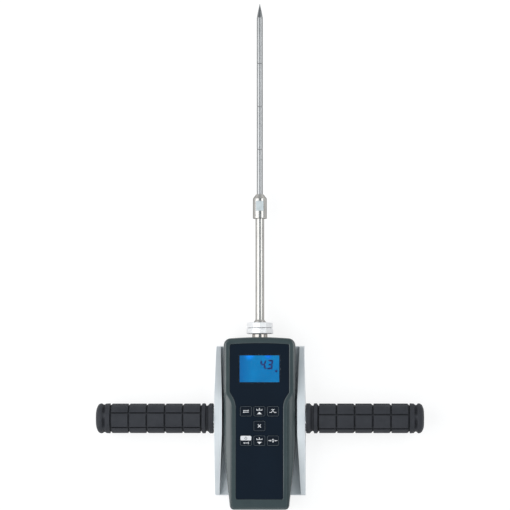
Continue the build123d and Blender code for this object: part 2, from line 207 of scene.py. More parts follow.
def grain(tree, size, stretch=(1, 1, 1), detail=3.0):
    """Noise on the piece's own coordinates, with grains of about a size in millimetres."""
    place = add_node(tree, "ShaderNodeTexCoord", {}, "Object")
    scaled = add_node(tree, "ShaderNodeMapping", {"Vector": place, "Scale": stretch})
    return add_node(tree, "ShaderNodeTexNoise", {
        "Vector": scaled, "Scale": 1 / (size * mm), "Detail": detail}, "Fac")


def spread(tree, amount, low, high, start=0.3, end=0.7):
    """Spreads part of a number's range, as a rule the middle of a noise, over other values."""
    return add_node(tree, "ShaderNodeMapRange", {
        "Value": amount, "From Min": start, "From Max": end, "To Min": low, "To Max": high})


def mix(tree, amount, first, second):
    """Colour between two colours or links."""
    return add_node(tree, "ShaderNodeMix", {0: amount, 6: first, 7: second}, 2, data_type="RGBA")


def outer_edges(tree, reach):
    """Mask of the outer edges, broken up as rubbing leaves them. Reach is in millimetres."""
    hollow = add_node(tree, "ShaderNodeAmbientOcclusion", {"Distance": reach * mm}, "AO",
                      inside=True, only_local=True, samples=8)
    return figure(tree, "MULTIPLY", spread(tree, hollow, 1.0, 0.0, 0.55, 0.95),
                  spread(tree, grain(tree, 4 * reach), 0.2, 1.0))


def relief(tree, height, depth):
    """Surface normal for a relief of a depth in millimetres."""
    return add_node(tree, "ShaderNodeBump", {"Height": height, "Strength": 1.0, "Distance": depth * mm})


def new_finish(name):
    """Material with its node tree and its shader."""
    finish = bpy.data.materials.new(name)
    finish.use_nodes = True
    return finish, finish.node_tree, finish.node_tree.nodes["Principled BSDF"]


def surface(name, dark, light, rubbed, gloss, fine, depth, stretch=(1, 1, 1), edge=0.6, drift=25, **fixed):
    """Finish with a drifting tone, rubbed outer edges, and a fine grain in its gloss and relief."""
    finish, tree, shader = new_finish(name)
    tone = mix(tree, spread(tree, grain(tree, drift), 0.0, 1.0), (*dark, 1), (*light, 1))
    texture = grain(tree, fine, stretch)
    set_inputs(shader, {
        "Base Color": mix(tree, outer_edges(tree, edge), tone, (*rubbed, 1)),
        "Roughness": spread(tree, texture, *gloss), "Normal": relief(tree, texture, depth),
        **{key.replace("_", " "): value for key, value in fixed.items()}})
    return finish


def fit(piece, finish, body, slot, *nodes):
    """Gives a piece its finish and body, and hides the solids that it stands for. The slot is not used."""
    piece.data.materials.clear()
    piece.data.materials.append(finish)
    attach(piece, body)
    if nodes:
        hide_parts(*nodes)


satin_aluminium = surface(
    "satin_aluminium", dark=(0.66, 0.70, 0.73), light=(0.74, 0.77, 0.79), rubbed=(0.88, 0.90, 0.91),
    gloss=(0.38, 0.54), fine=0.3, depth=0.012, Metallic=0.35)
fit(back_plate, satin_aluminium, "frame", "bracket", "back_plate")

# Countersunk socket screws in the back plate: three to each cheek and four into the gauge.
# They are turned steel with a dull zinc finish, sunk just below the plate's rear face.
socket_radius, socket_depth, screw_sunk = 1.45, 1.3, 0.1
socket_facets = 6
zinc_steel = surface(
    "zinc_steel", dark=(0.42, 0.42, 0.43), light=(0.55, 0.55, 0.55), rubbed=(0.72, 0.72, 0.72),
    gloss=(0.28, 0.42), fine=0.4, depth=0.008, edge=0.25, drift=6, Metallic=1.0)


def new_pattern(name, sizes, finish, takes_mesh=False):
    """Node tree for what repeats, the outputs that give its named sizes, and the input that ends it."""
    tree = bpy.data.node_groups.new(name, "GeometryNodeTree")
    tree.interface.new_socket("Geometry", in_out="OUTPUT", socket_type="NodeSocketGeometry")
    if takes_mesh:
        tree.interface.new_socket("Geometry", in_out="INPUT", socket_type="NodeSocketGeometry")
    for size, value in sizes.items():
        kind = "NodeSocketInt" if isinstance(value, int) else "NodeSocketFloat"
        tree.interface.new_socket(size, in_out="INPUT", socket_type=kind)
    start = tree.nodes.new("NodeGroupInput")
    real = add_node(tree, "GeometryNodeRealizeInstances", {})
    painted = add_node(tree, "GeometryNodeSetMaterial", {"Geometry": real, "Material": finish})
    add_node(tree, "NodeGroupOutput", {"Geometry": painted})
    return tree, start.outputs, real.node.inputs[0]


def grow(piece, tree, sizes, crease=plain_crease):
    """Runs a pattern on a piece with its sizes and keeps the result as plain mesh."""
    pattern = piece.modifiers.new("Pattern", "NODES")
    pattern.node_group = tree
    for item in tree.interface.items_tree:
        if item.name in sizes and item.in_out == "INPUT":
            pattern[item.identifier] = sizes[item.name]
    return settle(piece, crease)


screw_sizes = {
    "Column spacing": 0.0, "Row spacing": 0.0, "Rows": 0,
    "Head radius": screw_head_radius * mm, "Shank radius": screw_shank_radius * mm,
    "Head depth": screw_head_depth * mm, "Socket radius": socket_radius * mm,
    "Socket depth": socket_depth * mm, "Sunk": screw_sunk * mm}
screws, size, screw_end = new_pattern("countersunk_screws", screw_sizes, zinc_steel)
row_length = figure(screws, "MULTIPLY", figure(screws, "ADD", size["Rows"], -1.0), size["Row spacing"])
places = add_node(screws, "GeometryNodeMeshGrid", {
    "Size X": size["Column spacing"], "Size Y": row_length, "Vertices X": 2, "Vertices Y": size["Rows"]})
head = add_node(screws, "GeometryNodeMeshCone", {
    "Vertices": screw_facets, "Radius Top": size["Shank radius"], "Radius Bottom": size["Head radius"],
    "Depth": size["Head depth"]})
socket = add_node(screws, "GeometryNodeMeshCylinder", {
    "Vertices": socket_facets, "Radius": size["Socket radius"], "Depth": size["Socket depth"]})
drilled = add_node(screws, "GeometryNodeMeshBoolean", {
    "Mesh 1": head, "Mesh 2": socket}, operation="DIFFERENCE")
lift = add_node(screws, "ShaderNodeCombineXYZ", {"Z": size["Sunk"]})
seated = add_node(screws, "GeometryNodeTransform", {"Geometry": drilled, "Translation": lift})
placed = add_node(screws, "GeometryNodeInstanceOnPoints", {"Points": places, "Instance": seated})
screws.links.new(placed, screw_end)
for name, half_spacing, pitch, rows in (
        ("cheek_screws", cheek_screw_x, cheek_screw_pitch, 3),
        ("gauge_screws", gauge_screw_x, gauge_screw_pitch, 2)):
    screw_set = grow(new_piece(name, [], []), screws, {
        **screw_sizes, "Column spacing": 2 * half_spacing * mm, "Row spacing": pitch * mm, "Rows": rows})
    fit(screw_set, zinc_steel, "frame", "bar")

# Cheeks of the bracket: aluminium side plates, high and thick where the handles bolt on and low and thin at
# both ends. They are milled, with a flat on the front edge at the handle and rounded corners at the ends, and
# are blasted and anodised with the plate.
cheek_low, cheek_high = node_box("right_cheek")
cheek_flat_top, cheek_flat_bottom = bracket_shoulder_y, -18.5
cheek_top_front, cheek_bottom_front = 13.0, 12.0
cheek_end_thickness = 5.0
cheek_top_x = cheek_high.x - bracket_top_draw
cheek_end_round, cheek_corner_round, cheek_edge = 3.0, 2.2, 0.8


def rounded(corners, steps=8):
    """Path through corners of (x, y) or (x, y, radius), with an arc of so many steps at each given radius."""
    path = []
    for index, corner in enumerate(corners):
        here = np.array(corner[:2], float)
        if len(corner) == 2:
            path.append(tuple(here))
            continue
        back = np.array(corners[index - 1][:2], float) - here
        ahead = np.array(corners[(index + 1) % len(corners)][:2], float) - here
        back /= np.linalg.norm(back)
        ahead /= np.linalg.norm(ahead)
        half = math.acos(np.clip(np.dot(back, ahead), -1, 1)) / 2
        inward = (back + ahead) / np.linalg.norm(back + ahead)
        centre = here + inward * corner[2] / math.sin(half)
        first = here + back * corner[2] / math.tan(half) - centre
        sideways = here + ahead * corner[2] / math.tan(half) - centre
        sweep = math.pi - 2 * half
        for step in range(steps + 1):
            share = step / steps
            swung = math.sin((1 - share) * sweep) * first + math.sin(share * sweep) * sideways
            path.append(tuple(centre + swung / math.sin(sweep)))
    return path


def skin(sections, closed, looped=True):
    """Points and faces of a skin through sections of equal length, closed or open, in a loop or a row."""
    size = len(sections[0])
    points = [point for section in sections for point in section]
    faces = []
    for station in range(len(sections) if looped else len(sections) - 1):
        here, beyond = station * size, (station + 1) % len(sections) * size
        for k in range(size if closed else size - 1):
            ahead = (k + 1) % size
            faces.append((here + k, here + ahead, beyond + ahead, beyond + k))
    return points, faces


cheek_front = rounded([
    (cheek_low.y, cheek_low.z), (cheek_low.y, cheek_bottom_front, cheek_end_round),
    (cheek_flat_bottom, cheek_high.z), (cheek_flat_top, cheek_high.z),
    (cheek_high.y, cheek_top_front, cheek_end_round), (cheek_high.y, cheek_low.z)])
cheek_stations = [cheek_low.y, cheek_flat_bottom, cheek_flat_top, cheek_high.y]
cheek_inner_x = [
    cheek_high.x - cheek_end_thickness, cheek_low.x, cheek_low.x, cheek_top_x - cheek_end_thickness]
cheek_outer_x = [cheek_high.x, cheek_high.x, cheek_high.x, cheek_top_x]
for way, cheek_name in ((-1, "left_cheek"), (1, "right_cheek")):
    cheek_sections = []
    for y, z in cheek_front:
        inner = np.interp(y, cheek_stations, cheek_inner_x)
        outer = np.interp(y, cheek_stations, cheek_outer_x)
        past_corner = max(0, cheek_corner_round - min(y - cheek_low.y, cheek_high.y - y))
        outer += math.sqrt(max(0, cheek_corner_round ** 2 - past_corner ** 2)) - cheek_corner_round
        cheek_sections.append([
            (way * x, y, front) for x, front in (
                (inner, cheek_low.z), (inner, z), (outer, z), (outer, cheek_low.z))])
    cheek = settle(new_piece(cheek_name + "_plate", *skin(cheek_sections, closed=True, looped=False)))
    fit(settle(bevel(cheek, cheek_edge)), satin_aluminium, "frame", "bracket", cheek_name)

# Toothed lock washers between the cheeks and the handles, stamped from bright spring steel.
# The teeth are bent out of the ring so that they bite into both faces.
grip_low, grip_high = node_box("grips")
handle_height = (grip_low.z + grip_high.z) / 2
washer_outside = 53.1
spring_steel = surface(
    "spring_steel", dark=(0.62, 0.64, 0.66), light=(0.74, 0.75, 0.77), rubbed=(0.85, 0.85, 0.86),
    gloss=(0.18, 0.34), fine=0.5, depth=0.006, edge=0.25, drift=5, Metallic=1.0)

washer_sizes = {
    "Teeth": 20, "Ring radius": 9.0 * mm, "Ring width": 6.0 * mm, "Thickness": 0.9 * mm,
    "Tooth reach": 13.0 * mm, "Tooth length": 3.8 * mm, "Tooth width": 2.3 * mm, "Twist": math.radians(11),
    "Place": (cheek_high.x + washer_outside) / 2 * mm, "Height": handle_height * mm}
ring_facets = 64
washers, size, washer_end = new_pattern("toothed_washers", washer_sizes, spring_steel)
ring_line = add_node(washers, "GeometryNodeCurvePrimitiveCircle", {
    "Resolution": ring_facets, "Radius": size["Ring radius"]})
ring_section = add_node(washers, "GeometryNodeCurvePrimitiveQuadrilateral", {
    "Width": size["Ring width"], "Height": size["Thickness"]})
ring = add_node(washers, "GeometryNodeCurveToMesh", {"Curve": ring_line, "Profile Curve": ring_section})
tooth_size = add_node(washers, "ShaderNodeCombineXYZ", {
    "X": size["Tooth length"], "Y": size["Tooth width"], "Z": size["Thickness"]})
tooth = add_node(washers, "GeometryNodeMeshCube", {"Size": tooth_size})
tooth_turn = add_node(washers, "ShaderNodeCombineXYZ", {"X": size["Twist"]})
bent_tooth = add_node(washers, "GeometryNodeTransform", {"Geometry": tooth, "Rotation": tooth_turn})
tooth_places = add_node(washers, "GeometryNodeMeshCircle", {
    "Vertices": size["Teeth"], "Radius": size["Tooth reach"]})
outward = add_node(washers, "GeometryNodeInputPosition", {})
facing = add_node(washers, "FunctionNodeAlignRotationToVector", {"Vector": outward}, axis="X")
teeth = add_node(washers, "GeometryNodeInstanceOnPoints", {
    "Points": tooth_places, "Instance": bent_tooth, "Rotation": facing})
washer = add_node(washers, "GeometryNodeJoinGeometry", {})
for shape in (ring, teeth):
    washers.links.new(shape, washer.node.inputs[0])
washer_pair = add_node(washers, "GeometryNodeJoinGeometry", {})
for way in (-1, 1):
    spot = add_node(washers, "ShaderNodeCombineXYZ", {
        "X": figure(washers, "MULTIPLY", size["Place"], float(way)), "Z": size["Height"]})
    upright = add_node(washers, "GeometryNodeTransform", {
        "Geometry": washer, "Rotation": (0, math.pi / 2, 0), "Translation": spot})
    washers.links.new(upright, washer_pair.node.inputs[0])
washers.links.new(washer_pair, washer_end)
fit(grow(new_piece("lock_washers", [], []), washers, washer_sizes), spring_steel, "frame", "bar")

# Handle bars: drawn aluminium, turned down at the root to the stud that holds them in the cheek.
# Nothing of them shows but the shoulder behind the washer.
bar_end, bar_radius, bar_round = 184.7, 11.0, 0.6
stud_radius, stud_round = 5.0, 0.4
bar_facets = 64
drawn_aluminium = surface(
    "drawn_aluminium", dark=(0.52, 0.53, 0.55), light=(0.62, 0.62, 0.64), rubbed=(0.75, 0.75, 0.76),
    gloss=(0.3, 0.45), fine=0.5, depth=0.008, stretch=(0.05, 1, 1), Metallic=1.0)
bar_path = rounded([
    (cheek_low.x, 0), (cheek_low.x, stud_radius, stud_round), (washer_outside, stud_radius),
    (washer_outside, bar_radius, bar_round), (bar_end, bar_radius, bar_round), (bar_end, 0)], steps=3)


def together(shapes):
    """Points and faces of several shapes taken as one."""
    points, faces = [], []
    for shape_points, shape_faces in shapes:
        faces += [[len(points) + k for k in face] for face in shape_faces]
        points += shape_points
    return points, faces


bar_points, bar_faces = spin(bar_path, bar_facets)
bars = new_piece("handle_bar_pair", *together([
    ([(way * a, b, handle_height + c) for a, b, c in bar_points], bar_faces) for way in (-1, 1)]))
fit(settle(bars), drawn_aluminium, "frame", "bar", "handle_bars")

# Grips: black rubber sleeves, moulded with a flange, two collars and five rows of blocks, and pushed over
# the bars. Lengthwise flutes part the blocks, and the domed end cap has shallow dents round its inner
# shoulder.
grip_start = 53.2
grip_radius = grip_high.z - handle_height
grip_length = grip_high.x - grip_start
flange_width, flange_round = 4.2, 1.0
collar_width, collar_round = 3.2, 0.7
groove_width, groove_depth, groove_floor = 5.1, 2.6, ((0.52, 0.6), (0.82, 0.4))
notch_width, notch_floor, notch_depth, notch_round = 2.4, 0.5, 1.9, 0.2
rows_start, rows_end, grip_rows = 15.0, 118.8, 5
rows_lead, rows_lead_round = 0.7, 0.25
block_drop, block_lean, block_round = 0.3, 0.1, 0.5
end_lean, end_round = 0.3, 0.6
vee_width, vee_depth, vee_round, cap_round = 4.2, 0.8, 0.9, 1.2
cap_width, cap_dome = 7.6, ((5.4, 0.0, 5.0), (2.8, 1.4, 4.6), (0.5, 6.3, 11.0))
flute_count, flute_width, flute_depth = 6, 1.7, 1.7
flute_turns = {-1: math.radians(21), 1: math.radians(14)}
flute_floor_share, flute_rim_share = 0.4, 0.62
plain_steps = 9
dent_depth, dent_length, dent_share, dent_turn = 2.1, 1.7, 0.72, math.radians(-9)

block_radius = grip_radius - block_drop
valley, notch = grip_radius - groove_depth, block_radius - notch_depth
collar_start = flange_width + groove_width
row_pitch = (rows_end - rows_start) / grip_rows
cap_start = grip_length - cap_width
grip_corners = [
    (0, 0), (0, grip_radius, cap_round), (flange_width, grip_radius, flange_round),
    *[(flange_width + groove_width * share, valley, bend) for share, bend in groove_floor],
    (collar_start, grip_radius, collar_round), (collar_start + collar_width, grip_radius, collar_round),
    (rows_start - rows_lead, valley, rows_lead_round)]
for row in range(grip_rows):
    row_start = rows_start + row * row_pitch
    grip_corners += [
        (row_start, valley if row == 0 else notch, notch_round),
        (row_start + block_lean, block_radius, block_round),
        (row_start + row_pitch - notch_width, block_radius, block_round),
        (row_start + row_pitch - notch_floor, notch, notch_round)]
grip_corners += [
    (rows_end, notch, notch_round), (rows_end + end_lean, grip_radius, end_round),
    (cap_start - vee_width, grip_radius, vee_round),
    (cap_start - vee_width / 2, grip_radius - vee_depth, cap_round), (cap_start, grip_radius, cap_round),
    *[(grip_length - back, grip_radius - inset, bend) for back, inset, bend in cap_dome], (grip_length, 0)]
grip_path = rounded(grip_corners, steps=5)

half_offsets = [share * flute_width for share in (0.2, flute_floor_share, 0.55, flute_rim_share, 0.8)]
flute_offsets = [-offset for offset in reversed(half_offsets)] + [0] + half_offsets
flute_pitch = 2 * math.pi / flute_count
flute_rim = flute_offsets[-1] / grip_radius
fluted_angles = []
for flute in range(flute_count):
    middle = flute * flute_pitch
    fluted_angles += [middle + offset / grip_radius for offset in flute_offsets]
    rim_to_rim = np.linspace(middle + flute_rim, (flute + 1) * flute_pitch - flute_rim, plain_steps)
    fluted_angles += list(rim_to_rim[1:-1])

sleeves = []
sleeve_points, sleeve_faces = spin(grip_path, len(fluted_angles))
for way, turn in flute_turns.items():
    turned_points = []
    for along, across, up in sleeve_points:
        radius = math.hypot(across, up)
        step = round(math.atan2(up, across) / (2 * math.pi) * len(fluted_angles)) % len(fluted_angles)
        angle = fluted_angles[step] + turn
        turned_points.append((
            way * (grip_start + along), radius * math.sin(angle), handle_height + radius * math.cos(angle)))
    sleeves.append((turned_points, sleeve_faces))

rubber, tree, shader = new_finish("grip_rubber")
rubber_tone_wear_and_shade = mix(tree, spread(tree, grain(tree, 14), 0.0, 1.0), (0.021, 0.023, 0.029, 1), (0.029, 0.031, 0.038, 1))
rubber_tone_wear_and_shade = mix(tree, outer_edges(tree, 0.7), rubber_tone_wear_and_shade, (0.047, 0.049, 0.056, 1))
# Painted shade: an ambient-occlusion mask darkens the rubber's colour in its flutes, grooves and dents, where
# shade falls.
recess_shade_mask = add_node(tree, "ShaderNodeAmbientOcclusion", {"Distance": 5 * mm}, "AO", only_local=True, samples=8)
rubber_tone_wear_and_shade = mix(tree, spread(tree, recess_shade_mask, 0.75, 0.0, 0.35, 0.95), rubber_tone_wear_and_shade, (0.008, 0.009, 0.012, 1))
ribs = add_node(tree, "ShaderNodeTexWave", {
    "Vector": add_node(tree, "ShaderNodeTexCoord", {}, "Object"), "Scale": 0.045 / mm, "Distortion": 0.15},
    "Fac", wave_type="BANDS", bands_direction="X", wave_profile="SIN")
pores = grain(tree, 0.35)
set_inputs(shader, {
    "Base Color": rubber_tone_wear_and_shade, "Roughness": spread(tree, pores, 0.58, 0.78), "Specular IOR Level": 0.35,
    "Normal": relief(tree, figure(tree, "ADD", ribs, pores), 0.05)})

grip_sizes = {
    "Flutes": float(flute_count), "Flute width": flute_width * mm,
    "Flute floor": (block_radius - flute_depth) * mm,
    "Rows start": (grip_start + rows_start - block_lean) * mm,
    "Rows end": (grip_start + rows_end + block_lean) * mm,
    "Left turn": flute_turns[-1], "Right turn": flute_turns[1], "Height": handle_height * mm,
    "Dent place": (grip_start + cap_start - vee_width / 2) * mm, "Dent depth": dent_depth * mm,
    "Dent turn": dent_turn}
fluting, size, flute_end = new_pattern("grip_flutes", grip_sizes, rubber, takes_mesh=True)


def sum_of(operation, *values):
    """Number from one arithmetic step in the grips' pattern."""
    return figure(fluting, operation, *values)


where = add_node(fluting, "GeometryNodeInputPosition", {})
spot = add_node(fluting, "ShaderNodeSeparateXYZ", {0: where}).node.outputs
raised = sum_of("SUBTRACT", spot["Z"], size["Height"])
reach = sum_of("SQRT", sum_of("ADD", sum_of("POWER", spot["Y"], 2.0), sum_of("POWER", raised, 2.0)))
right_side = sum_of("GREATER_THAN", spot["X"], 0.0)
turn_gap = sum_of("SUBTRACT", size["Right turn"], size["Left turn"])
turned = sum_of("ADD", size["Left turn"], sum_of("MULTIPLY", right_side, turn_gap))
angle = sum_of("SUBTRACT", sum_of("ARCTAN2", spot["Y"], raised), turned)
half_pitch = sum_of("DIVIDE", math.pi, size["Flutes"])
minus_half = sum_of("MULTIPLY", half_pitch, -1.0)
from_flute = sum_of("ABSOLUTE", sum_of("WRAP", angle, half_pitch, minus_half))
flute_bottom, flute_top = [
    sum_of("MULTIPLY", size["Flute width"], share) for share in (flute_floor_share, flute_rim_share)]
in_flute = spread(fluting, sum_of("MULTIPLY", from_flute, reach), 1.0, 0.0, flute_bottom, flute_top)
out_along = sum_of("ABSOLUTE", spot["X"])
past_start = sum_of("GREATER_THAN", out_along, size["Rows start"])
before_end = sum_of("LESS_THAN", out_along, size["Rows end"])
in_rows = sum_of("MULTIPLY", past_start, before_end)
above_floor = sum_of("MAXIMUM", sum_of("SUBTRACT", reach, size["Flute floor"]), 0.0)
flute_cut = sum_of("MULTIPLY", sum_of("MULTIPLY", above_floor, in_flute), in_rows)
dent_angle = sum_of("SUBTRACT", angle, size["Dent turn"])
from_bridge = sum_of("ABSOLUTE", sum_of("WRAP", dent_angle, half_pitch, minus_half))
dent_reach = sum_of("MULTIPLY", half_pitch, dent_share)
dent_round = sum_of("DIVIDE", sum_of("SUBTRACT", half_pitch, from_bridge), dent_reach)
dent_along = sum_of("DIVIDE", sum_of("SUBTRACT", out_along, size["Dent place"]), dent_length * mm)
dent_along = sum_of("POWER", sum_of("ABSOLUTE", dent_along), 2.0)
dent_far = sum_of("ADD", dent_along, sum_of("POWER", dent_round, 4.0))
dent = sum_of("MULTIPLY", sum_of("POWER", math.e, sum_of("MULTIPLY", dent_far, -1.0)), size["Dent depth"])
taken = sum_of("DIVIDE", sum_of("ADD", flute_cut, dent), sum_of("MAXIMUM", reach, 1 * mm))
shrink = sum_of("MULTIPLY", taken, -1.0)
inward = add_node(fluting, "ShaderNodeCombineXYZ", {
    "Y": sum_of("MULTIPLY", spot["Y"], shrink), "Z": sum_of("MULTIPLY", raised, shrink)})
fluted = add_node(fluting, "GeometryNodeSetPosition", {"Geometry": size["Geometry"], "Offset": inward})
fluting.links.new(fluted, flute_end)
grips = settle(new_piece("grip_pair", *together(sleeves)))
fit(grow(grips, fluting, grip_sizes, crease=40), rubber, "frame", "grip", "grips")

# Rear shell of the gauge: moulded plastic tray that lies on the back plate, open to the front.
# Its outline is crowned at the top, straight along the sides and drawn in towards the foot.
casing_low, casing_high = node_box("front_shell")
rear_low, rear_high = node_box("rear_shell")
casing_half, casing_top, casing_foot = casing_high.x, casing_high.y, casing_low.y
split_height = rear_high.z
casing_crown, top_corner, bottom_corner = 2.0, 8.0, 5.0
taper_half, taper_y, foot_half = 38.2, -59.0, 33.4
wall = 2.5
rear_round = 2.4
parting_groove = 0.3
panel_low, panel_high = node_box("overlay_panel")
panel_upper_half, panel_top, panel_bottom = panel_high.x, panel_high.y, panel_low.y
panel_lower_half, panel_crown, panel_corner = 27.0, 1.2, 2.0
panel_shoulder_y, panel_slant = 29.8, math.radians(33)
panel_shoulder_round, panel_throat_round = 3.0, 25.0
pocket_gap = 0.1
heel_start_y = -70.0
fine_top, fine_bottom = 42.0, 6.0
top_stations, fine_stations, lower_stations, foot_stations = 14, 61, 34, 9
blend_top, blend_bottom = 60.0, -60.0


def crowned_top(half, top, crown, corner, crown_steps=16, corner_steps=12):
    """Right half of a crowned end with a rounded corner, from its middle to the start of the side."""
    radius = (half ** 2 + crown ** 2) / (2 * crown)
    centre = top - radius
    corner_x = half - corner
    corner_y = centre + math.sqrt((radius - corner) ** 2 - corner_x ** 2)
    lean = math.atan2(corner_x, corner_y - centre)
    crown_arc = [
        (radius * math.sin(a), centre + radius * math.cos(a)) for a in np.linspace(0, lean, crown_steps + 1)]
    corner_arc = [
        (corner_x + corner * math.sin(a), corner_y + corner * math.cos(a))
        for a in np.linspace(lean, math.pi / 2, corner_steps + 1)]
    return crown_arc + corner_arc[1:]


def side_at(path):
    """Function that gives a side path's half width at a height along the gauge."""
    ordered = sorted(path, key=lambda point: point[1])
    heights, halves = [point[1] for point in ordered], [point[0] for point in ordered]
    return lambda y: float(np.interp(y, heights, halves))


def panel_path(grow_by):
    """Corners of the panel's right side, keyhole-shaped, with the outline grown by some millimetres."""
    mitre = grow_by * math.tan(panel_slant / 2)
    drop = (panel_upper_half - panel_lower_half) / math.tan(panel_slant)
    return [
        (panel_upper_half + grow_by, panel_top),
        (panel_upper_half + grow_by, panel_shoulder_y - mitre, panel_shoulder_round),
        (panel_lower_half + grow_by, panel_shoulder_y - drop - mitre, panel_throat_round),
        (panel_lower_half + grow_by, panel_bottom - grow_by)]


taper_slope = (taper_half - foot_half) / (taper_y - casing_foot)
bend_corner_y = taper_y + (casing_half - taper_half) / taper_slope
bend_tangent = math.hypot(casing_half - taper_half, bend_corner_y - taper_y)
bend_round = bend_tangent / math.tan(math.atan(taper_slope) / 2)
casing_side = side_at(rounded([
    (casing_half, casing_top), (casing_half, bend_corner_y, bend_round), (foot_half, casing_foot)], steps=24))
pocket_side = side_at(rounded(panel_path(pocket_gap), steps=24))
casing_end = crowned_top(casing_half, casing_top, casing_crown, top_corner)
pocket_end = crowned_top(
    panel_upper_half + pocket_gap, panel_top + pocket_gap, panel_crown, panel_corner + pocket_gap)
casing_heel = rounded([
    (casing_side(heel_start_y), heel_start_y), (foot_half, casing_foot, bottom_corner), (0, casing_foot)],
    steps=12)[1:-1]
pocket_half, pocket_foot = panel_lower_half + pocket_gap, panel_bottom - pocket_gap
pocket_heel = rounded([
    (pocket_half, heel_start_y), (pocket_half, pocket_foot, panel_corner), (0, pocket_foot)], steps=12)[1:-1]
casing_heights = np.concatenate([
    np.linspace(casing_end[-1][1], fine_top, top_stations),
    np.linspace(fine_top, fine_bottom, fine_stations)[1:],
    np.linspace(fine_bottom, casing_heel[0][1], lower_stations)[1:]])
pocket_heights = np.interp(
    casing_heights, [casing_heel[0][1], blend_bottom, blend_top, casing_end[-1][1]],
    [pocket_heel[0][1], blend_bottom, blend_top, pocket_end[-1][1]])
casing_right = casing_end + [(casing_side(y), y) for y in casing_heights[1:-1]] + casing_heel
pocket_right = pocket_end + [(pocket_side(y), y) for y in pocket_heights[1:-1]] + pocket_heel
foot_shares = np.linspace(1, 0, foot_stations)[1:]
casing_right += [(casing_heel[-1][0] * share, casing_foot) for share in foot_shares]
pocket_right += [(pocket_heel[-1][0] * share, pocket_foot) for share in foot_shares]


def whole_loop(right):
    """Closed outline from the points of its right half, which start and end on the middle line."""
    return right + [(-x, y) for x, y in right[-2:0:-1]]


casing_loop, pocket_loop = whole_loop(casing_right), whole_loop(pocket_right)
moulded_plastic = surface(
    "moulded_plastic", dark=(0.024, 0.040, 0.043), light=(0.032, 0.050, 0.053), rubbed=(0.070, 0.092, 0.096),
    gloss=(0.18, 0.26), fine=0.28, depth=0.006, edge=0.7, Specular_IOR_Level=0.88)

rear_heel = [
    (rear_round * (1 - math.sin(a)), rear_low.z + rear_round * (1 - math.cos(a)))
    for a in np.linspace(math.pi / 2, 0, 7)]
rear_path = [
    (wall, rear_low.z + wall), (wall, split_height), (parting_groove, split_height),
    (0, split_height - parting_groove), *rear_heel]
rear_sections = []
for edge, pocket in zip(np.array(casing_loop), np.array(pocket_loop)):
    inward = (pocket - edge) / np.linalg.norm(pocket - edge)
    rear_sections.append([(*(edge + inward * depth), z) for depth, z in rear_path])
rear_points, rear_faces = skin(rear_sections, closed=False)
for corner in (0, len(rear_path) - 1):
    rear_faces.append(range(corner, len(rear_points), len(rear_path)))
rear_shell = settle(new_piece("rear_shell_moulding", rear_points, rear_faces))

neck_low, neck_high = node_box("load_shaft")
probe_height = (neck_low.z + neck_high.z) / 2
neck_radius, neck_gap = neck_high.x, 0.3
neck_hole_low, neck_hole_high = casing_top - 6, casing_top + 2


def turned_piece(name, path, sides=96):
    """Piece turned about the probe's axis, from a path of (along, radius)."""
    points, faces = spin(path, sides)
    return settle(new_piece(name, [(b, a, probe_height + c) for a, b, c in points], faces))


def neck_hole():
    """Cylinder that cuts the probe's way through the top wall of a shell."""
    radius = neck_radius + neck_gap
    return turned_piece("neck_hole", [
        (neck_hole_low, 0), (neck_hole_low, radius), (neck_hole_high, radius), (neck_hole_high, 0)], sides=72)


cut_away(rear_shell, neck_hole())
fit(rear_shell, moulded_plastic, "frame", "casing", "rear_shell")

# Pieces inside the gauge: the load cell on its anchor, the battery pack, the circuit board and its switches.
# They keep their own solids, each with the finish of its stock: milled aluminium, shrink wrap, green board
# and black nylon.
milled_aluminium = surface(
    "milled_aluminium", dark=(0.60, 0.61, 0.63), light=(0.72, 0.73, 0.75), rubbed=(0.84, 0.84, 0.85),
    gloss=(0.24, 0.40), fine=0.6, depth=0.010, stretch=(1, 0.08, 1), Metallic=1.0)
shrink_wrap = surface(
    "shrink_wrap", dark=(0.05, 0.06, 0.08), light=(0.09, 0.10, 0.13), rubbed=(0.16, 0.17, 0.2),
    gloss=(0.2, 0.34), fine=3.0, depth=0.05)
green_board = surface(
    "green_board", dark=(0.012, 0.09, 0.03), light=(0.02, 0.13, 0.045), rubbed=(0.25, 0.22, 0.12),
    gloss=(0.25, 0.36), fine=0.8, depth=0.02)
black_nylon = surface(
    "black_nylon", dark=(0.016, 0.016, 0.017), light=(0.026, 0.026, 0.028), rubbed=(0.06, 0.06, 0.06),
    gloss=(0.42, 0.58), fine=0.3, depth=0.01)
for node, finish in (
        ("load_cell", milled_aluminium), ("anchor_block", milled_aluminium), ("battery_pack", shrink_wrap),
        ("main_board", green_board), ("tact_switches", black_nylon)):
    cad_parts[node].material_slots[0].material = finish

# Front shell of the gauge: moulded plastic in the same colour, with a raised rim round the panel's pocket.
# Beside the keys its sides fall away in rounded shoulders, which a slanting crease divides from the rim.
bezel_front = casing_high.z
rim_rise, rim_width, bezel_round = 1.0, 4.6, 3.0
rim_inner_round, rim_outer_round = 0.8, 0.55
shoulder_round, shoulder_edge = 12.0, 1.2
pocket_floor = panel_low.z
floor_thickness, glue_gap = 1.9, 0.05
floor_under = pocket_floor - floor_thickness
crease_margin, crease_halvings = 0.05, 40
crease_least, crease_drop, crease_lift = 0.1, 0.02, 0.05
shoulder_near, shoulder_start, shoulder_end = 0.15, 0.4, 0.5
wall_step, shoulder_points = 0.25, 19
under_rim, under_share, under_least, under_slope = 1.2, 0.6, 0.5, 0.2
quarter_turn = np.linspace(0, math.pi / 2, 6)
crease_half = panel_lower_half + rim_width
crease_corner_y = panel_path(rim_width)[2][1]
crease_run = 30.0
crease_at = side_at(rounded([
    (crease_half + crease_run * math.tan(panel_slant), crease_corner_y + crease_run),
    (crease_half, crease_corner_y, panel_throat_round - rim_width), (crease_half, casing_foot)], steps=16))
crease_top_y = crease_corner_y + crease_run


